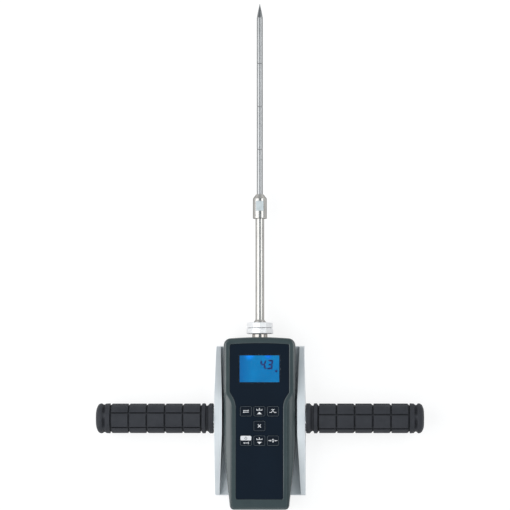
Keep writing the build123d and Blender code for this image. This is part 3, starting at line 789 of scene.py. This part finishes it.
def rim_height(from_edge):
    """Height of the rim's face at a distance from the casing's edge, rounded over at the edge."""
    over = max(0.0, bezel_round - from_edge)
    return bezel_front - bezel_round + math.sqrt(bezel_round ** 2 - over ** 2)


def shoulder_height(x, from_edge):
    """Height of the rounded shoulder at a place across the casing, with its outer edge eased."""
    beyond = max(0.0, abs(x) - crease_half)
    over = max(0.0, shoulder_edge - from_edge)
    eased = shoulder_edge - math.sqrt(shoulder_edge ** 2 - over ** 2)
    return bezel_front - rim_rise - shoulder_round + math.sqrt(shoulder_round ** 2 - beyond ** 2) - eased


def front_section(edge, pocket):
    """Closed section of the front shell's ring, from the pocket's wall over the rim to the parting line."""
    edge, pocket = np.array(edge), np.array(pocket)
    span = np.linalg.norm(edge - pocket)
    outward = (edge - pocket) / span

    def past_crease(run):
        x, y = pocket + outward * run
        return y < crease_top_y and abs(x) > crease_at(y)

    creased = past_crease(span - crease_margin)
    crease = span
    if creased:
        low, high = 0.0, span
        for _ in range(crease_halvings):
            crease = (low + high) / 2
            low, high = (low, crease) if past_crease(crease) else (crease, high)
    path = [(0, pocket_floor - glue_gap)]
    path += [(rim_inner_round * (1 - math.cos(a)), bezel_front - rim_inner_round * (1 - math.sin(a)))
             for a in quarter_turn]
    flat_end = min(crease - rim_outer_round, span - bezel_round)
    flat_runs = np.linspace(rim_inner_round, max(flat_end, rim_inner_round), 5)[1:]
    path += [(run, rim_height(span - run)) for run in flat_runs]
    arc_end = math.asin(np.clip((crease - rim_outer_round - span + bezel_round) / bezel_round, 0, 1))
    if not creased:
        arc_end = math.pi / 2
    for a in np.linspace(0, arc_end, 9)[1:]:
        run = max(span - bezel_round + bezel_round * math.sin(a), flat_end)
        path.append((min(run, crease), rim_height(span - min(run, crease))))
    if creased:
        top = rim_height(span - crease + rim_outer_round)
        foot = shoulder_height((pocket + outward * crease)[0], span - crease)
        edge_drop = min(rim_outer_round, max(top - foot - crease_least, crease_least))
        path += [(crease - rim_outer_round * (1 - math.sin(a)), top - edge_drop * (1 - math.cos(a)))
                 for a in quarter_turn[1:]]
        path.append((crease, min(foot + crease_lift, top - edge_drop - crease_drop)))
        runs = [crease + shoulder_near, *np.linspace(crease + shoulder_start, span - shoulder_end, 8)]
        runs += list(np.linspace(span - shoulder_end, span, 5)[1:])
        for run in np.clip(runs, crease, span):
            path.append((run, shoulder_height((pocket + outward * run)[0], span - run)))
    else:
        path += [
            (span, bezel_front - bezel_round - wall_step * step) for step in range(1, shoulder_points + 1)]
    wall_top = path[-1][1]
    path += [(span, z) for z in np.linspace(wall_top, split_height + parting_groove, 4)[1:]]
    path += [(span - parting_groove, split_height), (span - wall, split_height)]
    inside_top = min(wall_top, bezel_front - bezel_round) - under_rim
    path += [
        (span - wall, inside_top), (max(crease * under_share, under_least), floor_under + under_slope),
        (0, floor_under)]
    return [(*(pocket + outward * run), z) for run, z in path]


front_sections = [front_section(edge, pocket) for edge, pocket in zip(casing_loop, pocket_loop)]
front_shell = settle(new_piece("front_shell_moulding", *skin(front_sections, closed=True)))
cut_away(front_shell, neck_hole())


def cut_sheet(name, outlines, low, high, edge=0.0):
    """Flat piece between two heights, from its outline and those of its holes, with its edges rounded."""
    curve = bpy.data.curves.new(name, "CURVE")
    curve.dimensions = "2D"
    curve.fill_mode = "BOTH"
    curve.extrude = (high - low) / 2 - edge
    curve.bevel_depth = edge
    curve.bevel_resolution = 2
    curve.offset = -edge
    for outline in outlines:
        spline = curve.splines.new("POLY")
        spline.points.add(len(outline) - 1)
        for point, (x, y) in zip(spline.points, outline):
            point.co = (x, y, 0, 1)
        spline.use_cyclic_u = True
    drawn = new_object(name + "_line", curve)
    mesh = bpy.data.meshes.new_from_object(drawn.evaluated_get(bpy.context.evaluated_depsgraph_get()))
    bpy.data.objects.remove(drawn)
    mesh.transform(Matrix.Scale(mm, 4) @ Matrix.Translation((0, 0, (low + high) / 2)))
    mesh.name = name
    return settle(new_object(name, mesh))


def rectangle(x, y, width, height, corner):
    """Outline of a rectangle with rounded corners, about its middle."""
    return rounded([
        (x + sign_x * width / 2, y + sign_y * height / 2, corner)
        for sign_x, sign_y in ((1, 1), (-1, 1), (-1, -1), (1, -1))], steps=7)


window_low, window_high = node_box("display_window")
window_x, window_y = (window_low.x + window_high.x) / 2, (window_low.y + window_high.y) / 2
window_width, window_height = window_high.x - window_low.x, window_high.y - window_low.y
window_ledge, window_corner, window_gap = 0.8, 0.5, 0.1
key_lip, key_gap, key_corner = 1.2, 0.3, 1.9
key_names = ["key_unit", "key_up", "key_peak", "key_delete", "key_power", "key_down", "key_zero"]
key_spots = {}
for name in key_names:
    key_low, key_high = node_box(name)
    key_spots[name] = ((key_low.x + key_high.x) / 2, (key_low.y + key_high.y) / 2)
key_width, key_height = key_high.x - key_low.x, key_high.y - key_low.y - 2 * key_lip


def key_outline(name, grow_by):
    """Outline of a key, grown or shrunk by some millimetres."""
    width, height = key_width + 2 * grow_by, key_height + 2 * grow_by
    return rectangle(*key_spots[name], width, height, key_corner + grow_by)


def window_outline(grow_by, corner):
    """Outline of the window, grown or shrunk by some millimetres."""
    return rectangle(window_x, window_y, window_width + 2 * grow_by, window_height + 2 * grow_by, corner)


def join(first, second):
    """Adds the mesh of a second piece to the first one, as a closed form of its own."""
    work = bmesh.new()
    work.from_mesh(first.data)
    work.from_mesh(second.data)
    work.to_mesh(first.data)
    work.free()
    bpy.data.objects.remove(second)


key_holes = [key_outline(name, key_gap) for name in key_names]
display_opening = window_outline(-window_ledge, window_corner)
pocket_sheet = cut_sheet(
    "pocket_floor", [pocket_loop, display_opening, *key_holes], floor_under, pocket_floor - glue_gap)
join(front_shell, pocket_sheet)
fit(front_shell, moulded_plastic, "frame", "casing", "front_shell")

# Front panel: gloss black sheet printed on its rear side, glued into the pocket of the front shell.
# It is cut out round the window and the keys.
panel_edge = 0.15
panel_heel = rounded([
    (panel_lower_half, heel_start_y), (panel_lower_half, panel_bottom, panel_corner), (0, panel_bottom)])
panel_loop = whole_loop(
    crowned_top(panel_upper_half, panel_top, panel_crown, panel_corner)
    + rounded(panel_path(0), steps=12)[1:-1] + panel_heel[1:])
gloss_black, tree, shader = new_finish("gloss_black")
smear = spread(tree, grain(tree, 30, detail=5), 0, 1)
set_inputs(shader, {
    "Base Color": mix(tree, smear, (0.0008, 0.003, 0.0088, 1), (0.0014, 0.0044, 0.0116, 1)),
    "Roughness": spread(tree, grain(tree, 9, detail=6), 0.10, 0.14),
    "Normal": relief(tree, grain(tree, 0.3), 0.001),
    "Specular IOR Level": 0.45, "Specular Tint": (0.7, 0.86, 1.0, 1),
    "Coat Weight": 0.15, "Coat Roughness": 0.05})
overlay = cut_sheet(
    "overlay_sheet", [panel_loop, window_outline(window_gap, window_corner + window_gap), *key_holes],
    panel_low.z, panel_high.z, panel_edge)
fit(overlay, gloss_black, "frame", "panel", "overlay_panel")

# Display: a liquid-crystal module with a blue backlight, brightest at the two lamps along its upper edge.
# The module keeps its solid, and its dark digits lie on its glass.
lcd_front = node_box("lcd_module")[1].z
glow_spots = ((-11.4, 6.5, (0.0, 0.30, 1.1, 1)), (10.2, 5.0, (0.0, 0.17, 0.95, 1)))
glow_y = window_y + window_height / 2 - window_ledge
fade_from, fade_to = -22.5, -8.0
backlight, tree, shader = new_finish("blue_backlight")
place = add_node(tree, "ShaderNodeTexCoord", {}, "Object")
haze = mix(tree, spread(tree, grain(tree, 16), 0, 1), (0.0, 0.17, 0.43, 1), (0.0, 0.21, 0.50, 1))
across = add_node(tree, "ShaderNodeSeparateXYZ", {0: place}, "X")
haze = mix(tree, spread(tree, across, 0.75, 0.0, fade_from * mm, fade_to * mm), haze, (0.0, 0.12, 0.38, 1))
for glow_x, glow_radius, glow_colour in glow_spots:
    scaled = add_node(tree, "ShaderNodeMapping", {
        "Vector": place, "Scale": [1 / (glow_radius * mm)] * 3,
        "Location": (-glow_x / glow_radius, -glow_y / glow_radius, -lcd_front / glow_radius)})
    glow = add_node(tree, "ShaderNodeTexGradient", {"Vector": scaled}, "Fac", gradient_type="SPHERICAL")
    haze = mix(tree, glow, haze, glow_colour)
set_inputs(shader, {
    "Base Color": mix(tree, 0.75, haze, (0, 0, 0, 1)), "Emission Color": haze, "Emission Strength": 0.86,
    "Roughness": 0.2, "Specular IOR Level": 0.1})
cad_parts["lcd_module"].material_slots[0].material = backlight

digit_width, digit_height, stroke, slant = 4.4, 8.8, 2.1, 0.13
digit_base, bar_gap, ink_height = 57.0, 0.12, 0.04
shown_digits = ((1.2, "bcfg"), (9.3, "abcdg"))
dot_x, dot_rise, dot_radius = 7.45, 0.1, 0.95
mark_x, mark_y, mark_radius = 19.3, 53.9, 1.45
digit_bars = {
    "a": ((0, 2), (1, 2), (0, 1)), "b": ((1, 2), (1, 1), (1, 0)), "c": ((1, 1), (1, 0), (1, 0)),
    "d": ((0, 0), (1, 0), (0, -1)), "f": ((0, 2), (0, 1), (-1, 0)), "g": ((0, 1), (1, 1), (0, 1))}


def bar_mark(digit_x, name):
    """Outline of one bar of a digit, mitred at the corners, pointed at the middle and leaning right."""
    *corners, outside = digit_bars[name]
    aside = np.array(outside) * stroke / 2
    ends = [np.array([digit_x + column * digit_width, row * digit_height / 2]) for column, row in corners]
    along = (ends[1] - ends[0]) / np.linalg.norm(ends[1] - ends[0])
    outline = []
    for end, (column, row), inward in zip(ends, corners, (along, -along)):
        end, inset = end + inward * bar_gap, inward * stroke / 2
        sides = [end + inset + aside, end, end + inset - aside] if row == 1 else [
            end - inset + aside, end + inset - aside]
        outline += sides if not outline else sides[::-1]
    return [(x + y * slant, digit_base + y) for x, y in outline]


def disc(x, y, radius, steps=20):
    """Outline of a round dot."""
    turns = np.linspace(0, 2 * math.pi, steps + 1)[:-1]
    return [(x + radius * math.cos(turn), y + radius * math.sin(turn)) for turn in turns]


digit_marks = [bar_mark(digit_x, name) for digit_x, bars in shown_digits for name in bars]
digit_marks += [disc(dot_x, digit_base + dot_rise, dot_radius), disc(mark_x, mark_y, mark_radius)]
digit_ink = surface(
    "digit_ink", dark=(0.001, 0.016, 0.14), light=(0.002, 0.020, 0.17), rubbed=(0.003, 0.024, 0.19),
    gloss=(0.3, 0.4), fine=1.0, depth=0.002)
digits = cut_sheet("display_digits", digit_marks, lcd_front, lcd_front + ink_height)
fit(digits, digit_ink, "frame", "display")

# Window: clear acrylic pane let into the panel, with a black border printed on its underside.
# The border hides the ledge that the pane is glued to.
border_height, pane_lift, pane_edge = 0.05, 0.06, 0.12
pane_outline = window_outline(0, window_corner)
pane = cut_sheet("window_pane", [pane_outline], window_low.z + pane_lift, window_high.z, pane_edge)
acrylic, tree, shader = new_finish("clear_acrylic")
set_inputs(shader, {
    "Base Color": (0.93, 0.97, 1.0, 1), "Transmission Weight": 1.0, "IOR": 1.3,
    "Roughness": spread(tree, grain(tree, 11, detail=6), 0.0, 0.05)})
fit(pane, acrylic, "frame", "window", "display_window")
border = cut_sheet(
    "window_border", [pane_outline, display_opening], window_low.z, window_low.z + border_height)
fit(border, gloss_black, "frame", "panel")

# Keys: satin black caps in the panel's holes, each with a fine pale outline and a printed sign.
# The signs are plain: arrows, a tare zero, a peak, a cross, and a white field with a power sign.
key_back, key_top, key_edge = key_low.z, key_high.z, 0.4
print_height, print_steps, print_step = 0.03, 6, 0.15
outline_inset, outline_width = 0.35, 0.28
barb_length, barb_half, barb_lap = 1.3, 1.0, 0.7
satin_black = surface(
    "satin_black", dark=(0.0014, 0.004, 0.0092), light=(0.002, 0.0056, 0.0118), rubbed=(0.03, 0.035, 0.045),
    gloss=(0.13, 0.19), fine=0.25, depth=0.002, edge=0.3, drift=6, Specular_IOR_Level=0.38)
outline_ink = surface(
    "outline_ink", dark=(0.055, 0.070, 0.088), light=(0.075, 0.095, 0.115), rubbed=(0.09, 0.11, 0.13),
    gloss=(0.4, 0.5), fine=0.4, depth=0.003, drift=4)
sign_ink = surface(
    "sign_ink", dark=(0.62, 0.63, 0.65), light=(0.72, 0.73, 0.75), rubbed=(0.74, 0.75, 0.77),
    gloss=(0.4, 0.55), fine=0.4, depth=0.003, drift=4)


def printed(name, marks, low):
    """Ink on a key, from convex marks that may overlap, so that each has a slight height of its own."""
    return settle(new_piece(name, *together([
        prism(mark, low, low + print_height * (1 + print_step * (number % print_steps)))
        for number, mark in enumerate(marks)])))


def band(outer, inner):
    """Marks that fill the space between two paths of equal length."""
    return [[outer[k], outer[k + 1], inner[k + 1], inner[k]] for k in range(len(outer) - 1)]


def line(start, end, width=0.62):
    """Mark of a straight stroke between two places."""
    start, end = np.array(start, float), np.array(end, float)
    along = (end - start) / np.linalg.norm(end - start) * width / 2
    aside = np.array([-along[1], along[0]])
    return [tuple(p) for p in (
        start - along + aside, start - along - aside, end + along - aside, end + along + aside)]


def ring_marks(x, y, radius_x, radius_y, width=0.6, first=0.0, last=360.0, steps=18):
    """Marks of a round stroke about a place, between two angles in degrees."""
    return band(*[
        [(x + (radius_x - inset) * math.cos(a), y + (radius_y - inset) * math.sin(a))
         for a in np.radians(np.linspace(first, last, steps + 1))] for inset in (0, width)])


def arrow(x, y, length, way):
    """Marks of a small arrow along X, which points the given way."""
    tip = x + way * length / 2
    barb = tip - way * barb_length
    shaft = line((x - way * length / 2, y), (barb + way * barb_lap, y))
    return [shaft, [(tip, y), (barb, y + barb_half), (barb, y - barb_half)]]


tray = [line((-3, 1.3), (3, 1.3)), line((-3, 1.3), (-3, 2.3)), line((3, 1.3), (3, 2.3))]
white_field = rectangle(0, 2.9, key_width - 1.3, 5.2, 1.2)
key_signs = {
    "key_unit": arrow(0.3, 0.85, 6.4, 1) + arrow(-0.3, -0.95, 6.4, -1),
    "key_up": [[(0, -0.6), (-2.7, -3.3), (2.7, -3.3)], *tray,
               line((0, 3.5), (0, 2.6)), [(0, 1.8), (-0.9, 2.8), (0.9, 2.8)]],
    "key_peak": [line((-3.6, -1.3), (-1.6, -1.3)), line((-1.6, -1.3), (0, 1.1)), line((0, 1.1), (1.6, -1.3)),
                 line((1.6, -1.3), (3.6, -1.3)), line((-1.5, 2.1), (1.5, 2.1))],
    "key_delete": [line((-1.4, -1.4), (1.4, 1.4), 0.8), line((-1.4, 1.4), (1.4, -1.4), 0.8)],
    "key_power": arrow(0, -2.6, 6.0, -1) + [line((2.9, -1.7), (2.9, -3.5)), white_field],
    "key_down": [[(0, -4.0), (2.7, -1.4), (-2.7, -1.4)], *tray,
                 line((0, 2.0), (0, 2.8)), [(0, 3.8), (0.9, 2.8), (-0.9, 2.8)]],
    "key_zero": ring_marks(0, 0, 1.35, 1.9) + arrow(-3.4, 0, 2.8, 1) + arrow(3.4, 0, 2.8, -1)}
power_sign = ring_marks(0, 2.7, 1.6, 1.6, 0.5, 130, 410) + [line((0, 2.9), (0, 4.5), 0.55)]


def moved(marks, spot):
    """Marks about a key's middle, moved to the key's place."""
    return [[(spot[0] + x, spot[1] + y) for x, y in mark] for mark in marks]


for name, spot in key_spots.items():
    cap = cut_sheet(name + "_cap", [key_outline(name, 0)], key_back, key_top, key_edge)
    fit(cap, satin_black, name, "key", name)
    edges = [key_outline(name, -inset) for inset in (outline_inset, outline_inset + outline_width)]
    outline = printed(name + "_outline", band(*[edge + edge[:1] for edge in edges]), key_top)
    fit(outline, outline_ink, name, "key")
    if name == "key_power":
        sign = printed(name + "_power_sign", moved(power_sign, spot), key_top + print_height)
        fit(sign, satin_black, name, "key")
    fit(printed(name + "_sign", moved(key_signs[name], spot), key_top), sign_ink, name, "key")

# Load shaft: turned steel neck, chromed, that stands out of the casing's top.
# It carries the push of the probe to the load cell inside.
neck_round = 0.5
chrome = surface(
    "neck_chrome", dark=(0.34, 0.32, 0.30), light=(0.40, 0.38, 0.36), rubbed=(0.50, 0.48, 0.46),
    gloss=(0.08, 0.16), fine=0.5, depth=0.003, edge=0.3, drift=6, Metallic=1.0,
    Specular_Tint=(0.2, 0.19, 0.18, 1))
neck = turned_piece("load_shaft_neck", rounded([
    (neck_low.y, 0), (neck_low.y, neck_radius), (neck_high.y, neck_radius, neck_round),
    (neck_high.y, 0)], steps=4))
fit(neck, chrome, "probe", "neck_chrome", "load_shaft")

# Hand nuts: two twelve-sided nuts of bright aluminium, locked against each other on the rod's threaded foot.
# Each is turned from bar, with its flats milled and its rims chamfered.
nut_sides, nut_bore = 12, 5.3
nut_chamfer, nut_edge, nut_crease = 0.55, 0.18, 12
bright_aluminium = surface(
    "bright_aluminium", dark=(0.78, 0.785, 0.795), light=(0.84, 0.84, 0.85), rubbed=(0.90, 0.90, 0.905),
    gloss=(0.32, 0.42), fine=0.5, depth=0.004, stretch=(1, 0.1, 1), edge=0.4, drift=8, Metallic=0.45)
tree = bright_aluminium.node_tree
place = add_node(tree, "ShaderNodeTexCoord", {}).node.outputs
from_axis = add_node(tree, "ShaderNodeMapping", {
    "Vector": place["Object"], "Location": (0, 0, -probe_height * mm)})
lathe_marks = add_node(tree, "ShaderNodeTexWave", {"Vector": from_axis, "Scale": 0.5 / mm}, "Fac",
                       wave_type="RINGS", rings_direction="Y", wave_profile="SIN")
end_face = figure(tree, "ABSOLUTE", add_node(tree, "ShaderNodeSeparateXYZ", {0: place["Normal"]}, "Y"))
lathe_marks = figure(tree, "MULTIPLY", lathe_marks, spread(tree, end_face, 0, 1, 0.85, 0.97))
set_inputs(tree.nodes["Principled BSDF"], {"Normal": relief(tree, lathe_marks, 0.006)})
for name in ("lower_lock_nut", "upper_lock_nut"):
    nut_low, nut_high = node_box(name)
    nut_radius, nut_rim = nut_high.x, nut_high.x - nut_chamfer
    nut = turned_piece(name + "_milled", [
        (nut_low.y, nut_bore), (nut_low.y, nut_rim), (nut_low.y + nut_chamfer, nut_radius),
        (nut_high.y - nut_chamfer, nut_radius), (nut_high.y, nut_rim), (nut_high.y, nut_bore),
        (nut_low.y, nut_bore)], nut_sides)
    settle(bevel(nut, nut_edge, 2), crease=nut_crease)
    fit(nut, bright_aluminium, name, "nut_aluminium", name)

# Extension rod: ground steel, screwed into the neck through both nuts.
# A flared shoulder is turned on it just above them.
rod_low, rod_high = node_box("extension_rod")
extension_radius, extension_round = 5.0, 0.4
flare_radius, flare_rim = rod_high.x, 0.6
flare_low, flare_high = 110.4, 113.2
flare_under_round, flare_rim_round, flare_top_round = 0.2, 0.25, 0.8
ground_steel = surface(
    "ground_steel", dark=(0.425, 0.415, 0.40), light=(0.495, 0.485, 0.465), rubbed=(0.57, 0.56, 0.55),
    gloss=(0.23, 0.27), fine=0.5, depth=0.0003, stretch=(0.25, 1, 0.25), edge=0.3, drift=20, Metallic=1.0,
    Specular_Tint=(0.22, 0.21, 0.20, 1))
extension = turned_piece("extension_rod_ground", rounded([
    (rod_low.y, 0), (rod_low.y, extension_radius, extension_round), (flare_low, extension_radius),
    (flare_low, flare_radius, flare_under_round), (flare_low + flare_rim, flare_radius, flare_rim_round),
    (flare_high, extension_radius, flare_top_round), (rod_high.y, extension_radius, extension_round),
    (rod_high.y, 0)], steps=4))
fit(extension, ground_steel, "probe", "probe_steel", "extension_rod")

# Coupling: turned steel sleeve that joins the two rods, coned at its upper end and recessed at its mouth.
# Two wrench flats are milled into it, one to the front and one to the back.
coupling_low, coupling_high = node_box("rod_coupling")
coupling_radius = coupling_high.x
cone_length, cone_radius = 4.9, 4.4
mouth_radius, mouth_depth, mouth_lean = 6.3, 1.6, 0.3
coupling_round, cone_foot_round, cone_top_round = 0.5, 0.8, 0.3
flat_height, flat_low, flat_high = 6.75, 239.0, 250.6
flat_outline = [
    (-coupling_radius, flat_low), (coupling_radius, flat_low),
    (coupling_radius, flat_high), (-coupling_radius, flat_high)]
coupling = turned_piece("rod_coupling_turned", rounded([
    (coupling_low.y + mouth_depth, 0), (coupling_low.y + mouth_depth, mouth_radius - mouth_lean),
    (coupling_low.y, mouth_radius), (coupling_low.y, coupling_radius, coupling_round),
    (coupling_high.y - cone_length, coupling_radius, cone_foot_round),
    (coupling_high.y, cone_radius, cone_top_round), (coupling_high.y, 0)], steps=4), sides=128)
for way in (-1, 1):
    mill_low, mill_high = sorted((probe_height + way * flat_height, probe_height + way * 2 * coupling_radius))
    mill = new_piece("flat_mill", *prism(flat_outline, mill_low, mill_high))
    cut_away(coupling, settle(mill))
milled_flat = surface(
    "milled_flat", dark=(0.60, 0.66, 0.68), light=(0.70, 0.76, 0.78), rubbed=(0.75, 0.80, 0.82),
    gloss=(0.42, 0.56), fine=0.5, depth=0.010, stretch=(0.15, 1, 1), edge=0.2, drift=4, Metallic=0.5)
fit(coupling, ground_steel, "probe", "probe_steel", "rod_coupling")
coupling.data.materials.append(milled_flat)
for face in coupling.data.polygons:
    if abs(face.normal.z) > 0.99 and flat_low * mm < face.center.y < flat_high * mm:
        face.material_index = 1

# Probe rod: hardened steel, ground and greyer than the rod below, and held in the coupling.
# Three rings are engraved in it to mark the depth.
probe_low, probe_high = node_box("probe_rod")
tip_low, tip_high = node_box("cone_tip")
probe_radius = probe_high.x
ring_first, ring_pitch, ring_count = 70.0, 50.0, 3
ring_width, ring_depth = 1.0, 0.3
probe_path = [(probe_low.y, 0), (probe_low.y, probe_radius)]
for ring_number in reversed(range(ring_count)):
    ring_y = tip_high.y - ring_first - ring_number * ring_pitch
    probe_path += [(ring_y - ring_width / 2, probe_radius), (ring_y, probe_radius - ring_depth),
                   (ring_y + ring_width / 2, probe_radius)]
probe_path += [(probe_high.y, probe_radius), (probe_high.y, 0)]
probe = turned_piece("probe_rod_ground", probe_path)
rod_steel = surface(
    "rod_steel", dark=(0.335, 0.34, 0.345), light=(0.385, 0.39, 0.395), rubbed=(0.45, 0.45, 0.45),
    gloss=(0.27, 0.29), fine=0.5, depth=0.0001, stretch=(0.25, 1, 0.25), edge=0.3, drift=20, Metallic=1.0,
    Specular_Tint=(0.2, 0.2, 0.2, 1))
fit(probe, rod_steel, "probe", "probe_steel", "probe_rod")

# Cone tip: hardened steel, darker than the rod that it is brazed to.
# It is ground to a cone with slightly swelling sides and a small blunt point.
point_radius, point_length = 0.42, 0.35
tip_swell, swell_end, swell_stations = 0.28, 0.88, 9
hard_steel = surface(
    "hard_steel", dark=(0.26, 0.265, 0.27), light=(0.33, 0.335, 0.34), rubbed=(0.5, 0.5, 0.5),
    gloss=(0.28, 0.42), fine=0.5, depth=0.006, stretch=(0.2, 1, 0.2), edge=0.3, drift=8, Metallic=1.0)
tip_path = [(tip_low.y, 0)]
for share in np.linspace(0, swell_end, swell_stations):
    swollen = probe_radius * (1 - share) * (1 + tip_swell * share)
    tip_path.append((tip_low.y + share * (tip_high.y - tip_low.y), swollen))
tip_path += [(tip_high.y - point_length, point_radius), (tip_high.y, 0)]
tip = turned_piece("cone_tip_ground", tip_path, sides=72)
fit(tip, hard_steel, "probe", "tip_steel", "cone_tip")

# Floor: a plain white sheet of paper under the tester.
# It is lit up for the camera, and keeps a soft faint shadow.
floor_half, floor_drop = 12000, 0.05
floor = new_piece(
    "floor", [(x * floor_half, y * floor_half, -floor_drop) for x, y in ((-1, -1), (1, -1), (1, 1), (-1, 1))],
    [(0, 1, 2, 3)])
lamp_lit, camera_lit, camera_glow = 0.8, 0.24, 0.80
white_paper, tree, _ = new_finish("white_paper")
tree.nodes.clear()
rays = add_node(tree, "ShaderNodeLightPath", {}).node.outputs
seen = figure(tree, "MAXIMUM", rays["Is Camera Ray"], rays["Is Glossy Ray"])
seen = figure(tree, "MAXIMUM", seen, rays["Is Transmission Ray"])
plain, faint = [
    add_node(tree, "ShaderNodeBsdfDiffuse", {"Color": (tone, tone, tone, 1)})
    for tone in (lamp_lit, camera_lit)]
glow = add_node(tree, "ShaderNodeEmission", {"Color": (1, 1, 1, 1), "Strength": camera_glow})
lit = add_node(tree, "ShaderNodeAddShader", {0: faint, 1: glow})
paper = add_node(tree, "ShaderNodeMixShader", {0: seen, 1: plain, 2: lit})
add_node(tree, "ShaderNodeOutputMaterial", {"Surface": paper})
floor.data.materials.append(white_paper)

# Studio: a pale room that is dim straight overhead. A wide soft lamp to the left and a smaller one to the
# right of the rods show as bright bands on the polished steel, and two faint lamps fill the gauge's right
# side and its foot.
pale_wall, dim_ceiling, dark_camera = (0.95, 0.96, 0.97, 1), (0.33, 0.362, 0.38, 1), (0.30, 0.36, 0.40, 1)
ceiling_from, ceiling_to = 0.05, 0.40
camera_way, camera_from, camera_to = (-0.03, 0.03, 0.999), 0.95, 0.985
room = bpy.data.worlds.new("studio")
room.use_nodes = True
bpy.context.scene.world = room
tree = room.node_tree
direction = add_node(tree, "ShaderNodeTexCoord", {}, "Generated")
upward = add_node(tree, "ShaderNodeSeparateXYZ", {0: direction}, "Z")
ceiling = mix(tree, spread(tree, upward, 0.0, 1.0, ceiling_from, ceiling_to), pale_wall, dim_ceiling)
near_camera = add_node(tree, "ShaderNodeVectorMath", {
    0: direction, 1: camera_way}, "Value", operation="DOT_PRODUCT")
ceiling = mix(tree, spread(tree, near_camera, 0.0, 1.0, camera_from, camera_to), ceiling, dark_camera)
set_inputs(tree.nodes["Background"], {"Color": ceiling})
lamp_distance = 1350
for lamp_name, lean, tilt, lamp_y, lamp_length, lamp_width, lamp_power in (
        ("left_lamp", -45, 0, -20, 1500, 1500, 15.5), ("right_lamp", 45, 0, 560, 940, 820, 5.4),
        ("right_fill", 42, 0, -300, 1200, 900, 1.3), ("foot_lamp", 8, -42, 0, 600, 600, 1.7)):
    light = bpy.data.lights.new(lamp_name, "AREA")
    light.shape = "RECTANGLE"
    light.size = lamp_length * mm
    light.size_y = lamp_width * mm
    light.energy = lamp_power
    lamp = new_object(lamp_name, light)
    across, along = math.radians(lean), math.radians(tilt)
    towards = Vector((math.sin(across), math.sin(along), math.cos(across) * math.cos(along)))
    lamp.location = (towards * lamp_distance + Vector((0, lamp_y, probe_height))) * mm
    lamp.rotation_mode = "QUATERNION"
    lamp.rotation_quaternion = (-towards).to_track_quat("-Z", "Y")

# Camera: a long lens high above the gauge's face and a little to its right.
# It is turned to the middle of the tester, without any shift.
camera_x, camera_y, camera_height = 84.7, 0.0, 3000.0
camera_tilt, camera_turn = 3.619, 1.738
frame_pixels = 510
focal_pixels = 2582.0
lens = bpy.data.cameras.new("camera")
lens.sensor_width = 36.0
lens.lens = focal_pixels / frame_pixels * lens.sensor_width
lens.clip_start = 0.05
camera = new_object("camera", lens)
camera.location = (camera_x * mm, camera_y * mm, camera_height * mm)
camera.rotation_euler = (math.radians(camera_tilt), math.radians(camera_turn), 0)
bpy.context.scene.camera = camera
bpy.context.scene.view_settings.view_transform = "Standard"
